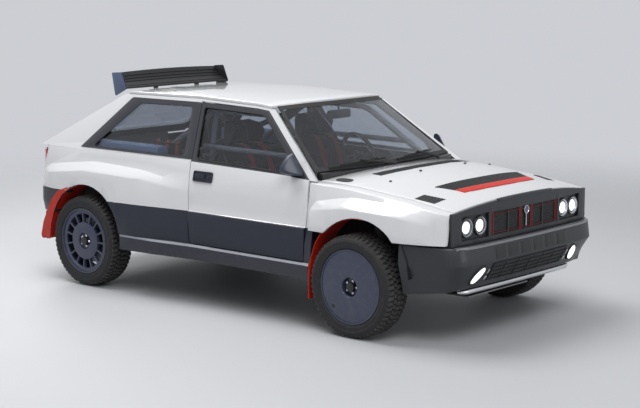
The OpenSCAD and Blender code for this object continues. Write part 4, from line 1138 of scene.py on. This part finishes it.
def makeWing():
    fx, fz = wing["foot"]
    half = wing["half"]
    across = between(-half, half, 24)

    # a point of the wing's section at y: the wing is arched along its length
    def onWing(x, y, z):
        return (fx + x, y, fz + z + wing["arch"] * (1 - (y / half) ** 2) * z / 0.1)

    blade = Shape().solid([[onWing(x, y, z) for x, z in wing["front"] + wing["back"]] for y in across])
    for k in range(wing["ribs"]):
        x, z = wing["back"][5 - min(int((k + 0.6) / wing["ribs"] * 5), 5)]
        rib = [Vector(onWing(x, y, z)) + Vector((0.001, 0, 0.001)) for y in across]
        blade.tube(rib, wing["ribR"], 8)
    for y in wing["struts"]:
        strut = [(fx - 0.002, fz + 0.008), (fx - 0.04, fz + 0.018), (fx - 0.04, 1.3245), (fx - 0.002, 1.3455)]
        blade.prism([(x, y - 0.007, z) for x, z in strut], (0, 0.014, 0))
    blade.piece("wing.blade", "wing", "tailgate", replaced=["rear_wing"], bevel=0.001, angle=32)
    outline = rounded([(fx + 0.006, half, fz), (fx - 0.112, half, fz - 0.055), (fx - 0.146, half, fz + 0.112),
                       (fx - 0.046, half, fz + 0.12)], 0.012)
    plates = Shape().prism(outline, (0, 0.006, 0)).bothSides()
    plates.piece("wing.end.plates", "wing", "tailgate", bevel=0.0012)
    skins = Shape().prism([p + Vector((0, 0.0058, 0)) for p in outline], (0, 0.002, 0)).bothSides()
    skins.piece("wing.end.skins", "plate", "tailgate", bevel=0.0006)


makeWing()

# arches: each sheet's edge in side view and its inner and outer y; the red liners, then the black wells
archLiners = [([(1.3, 0.752), (1.19, 0.752), (1.09, 0.73), (1.005, 0.69), (0.94, 0.63), (0.893, 0.56),
                (0.861, 0.47), (0.8455, 0.38), (0.844, 0.3), (0.844, 0.2)], 0.69, 0.872),
              ([(-1.15, 0.724), (-1.26, 0.7405), (-1.36, 0.727), (-1.45, 0.689), (-1.53, 0.625),
                (-1.59, 0.548), (-1.64, 0.46), (-1.69, 0.37), (-1.716, 0.292)], 0.7, 0.868)]
archWells = [([(1.3, 0.752), (1.4, 0.738), (1.49, 0.695), (1.56, 0.625), (1.602, 0.53), (1.615, 0.42)],
              0.56, 0.85),
             ([(-1.15, 0.724), (-1.06, 0.7), (-0.98, 0.648), (-0.925, 0.565), (-0.903, 0.47),
               (-0.898, 0.365)], 0.6, 0.85)]
# the flat red band behind the rear arch: its outer and inner edge, and its y
rearBand = {"outer": [(-1.44, 0.7), (-1.552, 0.662), (-1.62, 0.595), (-1.67, 0.507), (-1.715, 0.42),
                      (-1.742, 0.325)],
            "inner": [(-1.415, 0.694), (-1.495, 0.646), (-1.553, 0.58), (-1.597, 0.505), (-1.63, 0.415),
                      (-1.648, 0.3)],
            "y": (0.897, 0.902)}


# a thin bent sheet whose edge follows a path in side view
def archSheet(shape, path, y0, y1):
    smooth = []
    for a, b in zip(path, path[1:]):
        smooth += [Vector(a).lerp(Vector(b), k / 4) for k in range(4)]
    smooth.append(Vector(path[-1]))
    rows = []
    for i, p in enumerate(smooth):
        ahead = heading(smooth, i)
        out = Vector((-ahead.y, ahead.x)) * 0.0018
        rows.append([(q.x, y, q.y) for q, y in ((p + out, y0), (p + out, y1), (p - out, y1), (p - out, y0))])
    shape.solid(rows)


def makeLiners():
    liner, well = Shape(), Shape()
    for shape, sheets in ((liner, archLiners), (well, archWells)):
        for sheet in sheets:
            archSheet(shape, *sheet)
    well.bothSides().piece("wheel.wells", "black", angle=40)
    y0, y1 = rearBand["y"]
    liner.solid([[(a, y0, b), (c, y0, d), (c, y1, d), (a, y1, b)]
                 for (a, b), (c, d) in zip(rearBand["outer"], rearBand["inner"])])
    liner.tube([(-1.725, 0.72, 0.318), (-1.725, 0.8, 0.318), (-1.725, 0.896, 0.318)], 0.022, 18)
    liner.bothSides().piece("arch.liners", "flap", angle=40)


makeLiners()

tail = {"lens": [(-1.889, 0.518), (-1.889, 0.722), (-1.876, 0.738), (-1.842, 0.752), (-1.842, 0.518)],
        "lensZ": [(0.806, 0.85), (0.854, 0.892), (0.896, 0.934)],
        "tray": [(-1.883, 0.511), (-1.883, 0.72), (-1.87, 0.733), (-1.836, 0.746), (-1.836, 0.511)],
        "pipe": (-1.925, -0.38, 0.2597)}


# a rounded plate across the tailgate, at x, from z0 to z1
def tailPlate(x, half, z0, z1, radius, thick):
    return Shape().prism(rounded([(x, -half, z0), (x, half, z0), (x, half, z1), (x, -half, z1)], radius),
                         (-thick, 0, 0))


def makeTailParts():
    lens = Shape()
    for z0, z1 in tail["lensZ"]:
        lens.prism([(x, y, z0) for x, y in tail["lens"]], (0, 0, z1 - z0))
    lens.bothSides().piece("tail.lamp.lenses", "tail", replaced=["tail_lamps"], bevel=0.003)
    tray = Shape().prism([(x, y, 0.8005) for x, y in tail["tray"]], (0, 0, 0.139))
    tray.bothSides().piece("tail.lamp.trays", "black", bevel=0.002)
    plate = tailPlate(-1.8835, 0.26, 0.822, 0.934, 0.01, 0.002)
    plate.piece("tailgate.plate", "grey", "tailgate", slot="black_plastic", bevel=0.0006)
    lip = tailPlate(-1.884, 0.14, 0.938, 0.954, 0.006, 0.014)
    lip.piece("tailgate.grip", "black", "tailgate", bevel=0.002)
    pipe = Shape().lathe([(0.034, -0.15), (0.034, 0.0), (0.0375, 0.004), (0.041, 0.0), (0.041, -0.15)], 40)
    pipe.turned(turn(90, "Z")).moved(tail["pipe"]).piece("exhaust.tip", "bright", angle=35)


makeTailParts()
print("wing, liners and tail ready")

cabin = {"hoopX": -0.36, "hoopTop": (-0.34, 0.478, 1.293), "tubeR": 0.02, "seatY": 0.365,
         "wheelPlace": (0.23, 0.365, 0.946), "wheelTilt": 24.0}
# the cage's tubes as points, share of the tube's radius and count of sides: on each side, then across
cageSides = [([(-0.34, 0.478, 1.293), (-1.35, 0.56, 0.63)], 1.0, 16),
             ([(-0.354, 0.585, 1.054), (0.5, 0.6, 1.046)], 0.95, 16),
             ([(-0.357, 0.603, 0.56), (0.715, 0.607, 0.8)], 0.85, 14),
             ([(-1.34, 0.556, 0.64), (-0.35, 0.585, 0.52)], 0.8, 14)]
cageAcross = [([(-0.342, -0.478, 1.285), (-0.36, 0.61, 0.366)], 1.0, 16),
              ([(-0.42, -0.49, 1.245), (-1.345, 0.556, 0.65)], 1.0, 16),
              ([(-0.42, 0.49, 1.245), (-1.345, -0.556, 0.65)], 1.0, 16),
              ([(-0.356, -0.59, 0.985), (-0.356, 0.59, 0.985)], 0.9, 14)]


# a path whose corners are rounded
def bent(points, radius=0.05):
    path = [Vector(p) for p in points]
    result = [path[0]]
    for before, here, after in zip(path, path[1:], path[2:]):
        start, end = (here + (p - here).normalized() * radius for p in (before, after))
        result += [start * (1 - t) ** 2 + here * 2 * t * (1 - t) + end * t ** 2 for t in between(0, 1, 5)]
    return result + [path[-1]]


def makeCage():
    x, r = cabin["hoopX"], cabin["tubeR"]
    topX, topY, topZ = cabin["hoopTop"]
    cage, joints, side = Shape(), Shape(), Shape()
    cage.tube(bent([(x, 0.61, 0.326), (topX, topY, topZ), (topX, -topY, topZ), (x, -0.61, 0.326)]), r, 16)
    side.tube(bent([(topX, topY, topZ), (0.23, 0.44, 1.285), (0.72, 0.6, 0.906), (0.72, 0.61, 0.326)]), r, 16)
    for points, share, sides in cageSides:
        side.tube(points, r * share, sides)
    for footX in (x, 0.72):
        joints.block((footX, 0.61, 0.318), (0.11, 0.11, 0.008))
        for dx in (-0.038, 0.038):
            for dy in (-0.038, 0.038):
                bolt = Shape().lathe([(0.0005, 0.01), (0.008, 0.01), (0.009, 0.004), (0.0005, 0.004)], 6)
                joints.include(bolt.turned(turn(90, "X")).moved((footX + dx, 0.61 + dy, 0.318)))
    cage.include(side.bothSides())
    for points, share, sides in cageAcross:
        cage.tube(points, r * share, sides)
    cage.piece("cage.tubes", "cage", replaced=["roll_cage"], angle=45)
    joints.bothSides().piece("cage.feet", "steel")


makeCage()

# dials: y, z and radius; the hood over the main dials rises around the steering column
dash = {"section": [(0.832, 0.905), (0.8, 0.938), (0.74, 0.953), (0.64, 0.95), (0.59, 0.938), (0.556, 0.905),
                    (0.546, 0.85), (0.56, 0.8), (0.6, 0.775), (0.832, 0.775)],
        "half": 0.545, "hood": 0.03, "hoodHalf": 0.15, "hoodBack": 0.012,
        "dials": [(0.31, 0.905, 0.042), (0.42, 0.905, 0.042), (0.365, 0.872, 0.022), (0.12, 0.9, 0.024),
                  (0.05, 0.9, 0.024), (-0.02, 0.9, 0.024)]}


def makeDash():
    rows = []
    for y in between(-dash["half"], dash["half"], 32):
        rise = math.exp(-((y - cabin["seatY"]) / dash["hoodHalf"]) ** 4)
        rows.append([(x - (dash["hoodBack"] * rise if k in (3, 4, 5) else 0), y,
                      z + (dash["hood"] * rise if k in (2, 3, 4) else 0))
                     for k, (x, z) in enumerate(dash["section"])])
    Shape().solid(rows).piece("dashboard.shell", "dash", replaced=["dashboard"], bevel=0.003, angle=28)
    dials, rims = Shape(), Shape()
    for y, z, r in dash["dials"]:
        place = (0.5475 if z < 0.89 else 0.5515, y, z)
        dial = [(0.0005, 0.006), (r * 0.88, 0.006), (r * 0.9, 0.0), (0.0005, 0.0)]
        rim = [(r * 0.88, 0.004), (r * 0.92, 0.011), (r, 0.01), (r, 0.0), (r * 0.88, 0.0)]
        for shape, profile in ((dials, dial), (rims, rim)):
            shape.include(Shape().lathe(profile, 32).turned(turn(90, "Z")).moved(place))
    for k in range(6):
        rims.block((0.544, -0.11 - 0.03 * k, 0.88), (0.01, 0.014, 0.024))
    dials.piece("dash.dials", "brass")
    rims.piece("dash.dial.rims", "bright")


def makeLevers():
    console = Shape().block((0.25, 0.0, 0.395), (0.62, 0.2, 0.13)).block((0.56, 0.0, 0.62), (0.1, 0.26, 0.32))
    console.piece("centre.console", "dash", bevel=0.01)
    lever = Shape().tube([(0.18, 0.0, 0.45), (0.185, 0.0, 0.56), (0.165, 0.0, 0.64)], 0.008, 12)
    knob = Shape().lathe([(0.0005, -0.028), (0.016, -0.022), (0.024, -0.004), (0.022, 0.014), (0.012, 0.025),
                          (0.0005, 0.028)], 24, closed=False)
    lever.include(knob.moved((0.163, 0.0, 0.655)))
    lever.tube([(0.06, 0.075, 0.44), (0.11, 0.075, 0.5), (0.3, 0.075, 0.56)], 0.012, 12)
    lever.piece("gear.lever", "bright", angle=40)


def makeInteriorMirror():
    outline = [(0.362, -0.115, 1.246), (0.362, 0.115, 1.246), (0.358, 0.115, 1.304), (0.358, -0.115, 1.304)]
    shape = Shape().prism(rounded(outline, 0.02), (-0.018, 0, 0))
    shape.tube([(0.35, 0.0, 1.3), (0.345, 0.0, 1.335), (0.33, 0.0, 1.352)], 0.008, 10)
    shape.piece("interior.mirror", "black", bevel=0.003, angle=35)


makeDash()
makeLevers()
makeInteriorMirror()

grip = {"radius": 0.159, "thick": (0.016, 0.014), "spokes": (0, 180, 270)}


def makeSteeringWheel():
    thick, deep = grip["thick"]
    rows = []
    for a in circle(64):
        ring = [(grip["radius"] + thick * math.cos(b), deep * math.sin(b)) for b in circle(14)]
        rows.append([(r * math.cos(a), w, r * math.sin(a)) for r, w in ring])
    rim = Shape().grid(rows, around=True, loop=True)
    spokes = Shape()
    for angle in grip["spokes"]:
        a = math.radians(angle)
        corners = [(0.02, 0.018, 0.02), (0.02, 0.018, -0.02), (0.152, 0, -0.013), (0.152, 0, 0.013)]
        spokes.prism([(r * math.cos(a) - s * math.sin(a), w, r * math.sin(a) + s * math.cos(a))
                      for r, w, s in corners], (0, 0.005, 0))
    spokes.lathe([(0.0005, 0.036), (0.034, 0.034), (0.042, 0.026), (0.042, 0.016), (0.0005, 0.012)], 32)
    spokes.lathe([(0.0005, -0.036), (0.02, -0.036), (0.024, 0.014), (0.0005, 0.014)], 24)
    for shape in (spokes, rim):
        shape.turned(turn(-cabin["wheelTilt"], "Y") @ turn(90, "Z")).moved(cabin["wheelPlace"])
    rim.piece("wheel.grip", "dash", "steering_wheel", slot="black_plastic", replaced=["steering_wheel"],
              angle=60)
    spokes.piece("wheel.spokes", "steel", "steering_wheel", bevel=0.0012)


makeSteeringWheel()

# seat shell rows: x, z, the direction of its face as x and z, half width, depth of the side wings;
# the rows of the back share one direction, and the middle of each row is flat
seatRows = [(0.232, 0.392, 0, 1, 0.216, 0.06), (0.205, 0.376, 0.05, 1, 0.228, 0.105),
            (0.08, 0.366, 0.05, 1, 0.232, 0.135), (-0.05, 0.366, 0.15, 1, 0.234, 0.15),
            (-0.14, 0.378, 0.6, 0.8, 0.234, 0.165), (-0.186, 0.43, 1, 0.35, 0.234, 0.17)]
backRows = [(-0.2, 0.54, 0.232, 0.165), (-0.216, 0.68, 0.224, 0.135), (-0.236, 0.83, 0.226, 0.115),
            (-0.252, 0.94, 0.232, 0.12), (-0.262, 1.0, 0.218, 0.085), (-0.268, 1.03, 0.16, 0.05),
            (-0.276, 1.07, 0.15, 0.11), (-0.286, 1.13, 0.15, 0.15), (-0.296, 1.18, 0.132, 0.135),
            (-0.302, 1.212, 0.1, 0.07)]
flatShare = 0.62


def makeSeatShell():
    rows = []
    upper = [(x, z, 1, 0.15, half, depth) for x, z, half, depth in backRows]
    for x, z, nx, nz, half, depth in seatRows + upper:
        normal = Vector((nx, 0, nz)).normalized()
        inner, outer = [], []
        for k in range(13):
            t = -1 + 2 * k / 12
            bend = max(0.0, (abs(t) - flatShare) / (1 - flatShare))
            reach = flatShare + (1 - flatShare) * (1 - (1 - bend) ** 2)
            across = half * (t if abs(t) < flatShare else math.copysign(reach, t))
            point = Vector((x, across, z)) + normal * depth * bend ** 1.5
            wall = normal * 0.005 - Vector((0, math.copysign(0.005 * bend, t), 0))
            inner.append(point + wall)
            outer.append(point - wall)
        rows.append(inner + outer[::-1])
    return Shape().solid(rows)


# cushions: centre, length, width, thickness and tilt in degrees
cushion = {"voxel": 0.008, "pressure": 4.0, "cap": 0.024, "steps": 20, "seams": (-0.085, 0.085),
           "seamDepth": 0.007,
           "pads": {"base": ((0.035, 0, 0.44), 0.4, 0.33, 0.09, 4),
                    "back": ((-0.148, 0, 0.74), 0.48, 0.33, 0.07, -98),
                    "head": ((-0.25, 0, 1.13), 0.12, 0.19, 0.045, -98)}}


# two crowned sheets that meet at their edges
def pillow(centre, length, width, thick, tilt, steps=14):
    shape = Shape()
    for side in (1, -1):
        sheet = []
        for u in between(-1, 1, steps):
            row = []
            for v in between(-1, 1, steps):
                edge = (1 - u ** 6) * (1 - v ** 6)
                pull = 1 - 0.035 * (1 - (u * u if abs(v) > abs(u) else v * v))
                row.append((u * length / 2 * pull, v * width / 2 * pull, side * thick / 2 * edge ** 0.45))
            sheet.append(row)
        shape.grid(sheet)
    return shape.turned(turn(tilt, "Y")).moved(centre)


# padded fabric: remeshed, then a short cloth simulation under pressure with its movement capped
def puffed(shape, name):
    obj = newObject(name, shape.mesh(name))
    remesh = obj.modifiers.new("remesh", "REMESH")
    remesh.mode, remesh.voxel_size = "VOXEL", cushion["voxel"]
    applyModifiers(obj)
    start = [v.co.copy() for v in obj.data.vertices]
    cloth = obj.modifiers.new("cloth", "CLOTH")
    cloth.settings.use_pressure = True
    cloth.settings.uniform_pressure_force = cushion["pressure"]
    cloth.settings.effector_weights.gravity = 0
    for step in range(1, cushion["steps"] + 1):
        scene.frame_set(step)
    applyModifiers(obj)
    for vertex, before in zip(obj.data.vertices, start):
        move = vertex.co - before
        if move.length > cushion["cap"]:
            vertex.co = before + move.normalized() * cushion["cap"]
    scene.frame_set(1)
    return obj


# sewn channels pressed towards the cushion's centre, each along a line of constant y
def sewn(obj, centre):
    for vertex in obj.data.vertices:
        for y in cushion["seams"]:
            away = (vertex.co.y - centre[1] - y) / cushion["seamDepth"]
            if abs(away) < 3:
                inwards = (vertex.co - Vector(centre)).normalized()
                vertex.co -= inwards * cushion["seamDepth"] * math.exp(-away * away)


def makeSeats():
    seats = {"driver": cabin["seatY"], "codriver": -cabin["seatY"]}
    shell = makeSeatShell()
    for side, y in seats.items():
        Shape().include(shell).moved((0, y, 0)).piece(side + ".seat.shell", "black", slot="seat_fabric",
                                                      replaced=[side + "_seat"], angle=50)
    for name, values in cushion["pads"].items():
        obj = puffed(pillow(*values), name)
        if name != "head":
            sewn(obj, values[0])
        pad = taken(obj)
        for side, y in seats.items():
            placed = Shape().include(pad).moved((0, y, 0))
            obj = placed.piece(side + ".pad." + name, "seat", levels=1, angle=60)


makeSeats()


# flat webbing along a smooth path; "across" is its width direction
def strap(shape, points, width=0.048, thick=0.003, across=(0, 1, 0)):
    points = [Vector(p) for p in points]
    smooth = []
    for i in range(len(points) - 1):
        p0, p1, p2, p3 = (points[max(0, min(len(points) - 1, i + k))] for k in (-1, 0, 1, 2))
        smooth += [(2 * p1 + (p2 - p0) * t + (2 * p0 - 5 * p1 + 4 * p2 - p3) * t * t
                    + (3 * p1 - p0 - 3 * p2 + p3) * t ** 3) / 2 for t in between(0, 1, 5)[:-1]]
    smooth.append(points[-1])
    rows = []
    for i, p in enumerate(smooth):
        ahead = heading(smooth, i)
        wide = Vector(across)
        wide = (wide - ahead * wide.dot(ahead)).normalized()
        a, b = wide * width / 2, ahead.cross(wide) * thick / 2
        rows.append([p + a + b, p - a + b, p - a - b, p + a - b])
    return shape.solid(rows)


# harness lines as (x, outwards, z): outwards from the shoulder, or for the lap from the seat's middle
harness = {"shoulder": 0.075, "lapAcross": (0.8, 0, 0.6),
           "front": [(-0.358, 0.02, 1.006), (-0.33, 0.015, 1.03), (-0.275, 0, 1.052), (-0.19, 0, 1.068),
                     (-0.105, 0, 1.062), (-0.055, 0.01, 1.005), (-0.015, 0.012, 0.9), (0.008, 0, 0.78),
                     (0.018, -0.03, 0.66), (0.014, -0.055, 0.578)],
           "back": [(-0.366, 0.02, 1.0), (-0.39, 0.02, 0.93), (-0.47, 0.03, 0.7), (-0.56, 0.04, 0.48),
                    (-0.6, 0.05, 0.345)],
           "pad": [(-0.235, 0, 1.058), (-0.19, 0, 1.062), (-0.14, 0, 1.062)],
           "lap": [(-0.09, 0.205, 0.4), (-0.075, 0.2, 0.5), (-0.03, 0.15, 0.555), (0.01, 0.07, 0.562),
                   (0.016, 0.03, 0.562)],
           "crotch": [(0.15, 0, 0.5), (0.09, 0, 0.532), (0.025, 0, 0.556)],
           "spare": [(0, -0.575, 1.065), (0.004, -0.6, 1.04), (0.006, -0.606, 0.96), (0.006, -0.604, 0.86)]}


def makeBelts():
    belts, buckles, pads = Shape(), Shape(), Shape()

    def line(name, y, side=1):
        return [(x, y + side * out, z) for x, out, z in harness[name]]

    for middle in (cabin["seatY"], -cabin["seatY"]):
        for side in (1, -1):
            y = middle + side * harness["shoulder"]
            strap(belts, line("front", y, side))
            strap(belts, line("back", y, side))
            strap(pads, line("pad", y), 0.062, 0.014)
            strap(belts, line("lap", middle, side), across=harness["lapAcross"])
        strap(belts, line("crotch", middle), 0.042)
        buckle = Shape().lathe([(0.0005, 0.016), (0.026, 0.014), (0.031, 0.006), (0.031, -0.004),
                                (0.0005, -0.004)], 28)
        buckles.include(buckle.turned(turn(60, "X") @ turn(-90, "Z")).moved((0.018, middle, 0.568)))
    for start in (-0.815, -0.715, -0.615):
        strap(belts, [(start + x, y, z) for x, y, z in harness["spare"]], 0.034, across=(1, 0, 0))
    pads.block((-0.715, -0.59, 0.955), (0.25, 0.022, 0.19))
    belts.piece("harness.webbing", "belt", angle=50)
    pads.piece("harness.pads", "seat", bevel=0.003, angle=50)
    buckles.piece("harness.buckles", "bright", bevel=0.001)


makeBelts()

# the light blue trim from its rear to its front end, the mats, and the pedals' places across from each seat
trim = {"x": (-1.34, -0.7), "mat": (0.24, 0.68), "matHalf": 0.19, "pedals": (-0.07, 0.03, 0.12)}


def makeTrim():
    rows = []
    for t, x in zip(between(0, 1, 12), between(*trim["x"], 12)):
        low = 0.93 + 0.015 * math.sin(math.pi * t)
        rows.append([(x, 0.7, low), (x, 0.702, 1.024), (x, 0.64, 1.034), (x, 0.585, 1.018), (x, 0.58, low)])
    Shape().solid(rows).bothSides().piece("quarter.trim", "trimBlue", bevel=0.006)
    mat, (x0, x1), half = Shape(), trim["mat"], trim["matHalf"]
    for y in (cabin["seatY"], -cabin["seatY"]):
        outline = [(x0, y - half, 0.312), (x1, y - half, 0.312), (x1, y + half, 0.312), (x0, y + half, 0.312)]
        mat.prism(rounded(outline, 0.04), (0, 0, 0.006))
        for pedal in (y + dy for dy in trim["pedals"]):
            mat.tube([(0.69, pedal, 0.56), (0.67, pedal, 0.44), (0.655, pedal, 0.42)], 0.007, 8)
            mat.block((0.652, pedal, 0.42), (0.01, 0.06, 0.07))
    mat.piece("floor.mats", "rubber", bevel=0.002, angle=35)


makeTrim()
print("cabin ready")

# the looks of the CAD nodes that are carried over, or stand behind a piece
nodeLooks = {"underbody": ["floor_pan"], "net": ["grille"], "bright": ["guard_bar"], "cage": ["roll_cage"],
             "black": ["headlamps", "fog_lamps", "left_mirror", "right_mirror", "rear_wing", "dashboard",
                       "steering_wheel"],
             "glass": ["windscreen", "quarter_glass", "left_door_glass", "right_door_glass",
                       "tailgate_glass"],
             "cast": ["engine", "sump_guard", "left_knuckle", "right_knuckle"],
             "seat": ["driver_seat", "codriver_seat"],
             "steel": ["front_suspension", "rear_suspension", "exhaust"], "tail": ["tail_lamps"]}
for look, names in nodeLooks.items():
    for name in names:
        for slot in nodes[name].material_slots:
            slot.material = looks[look]
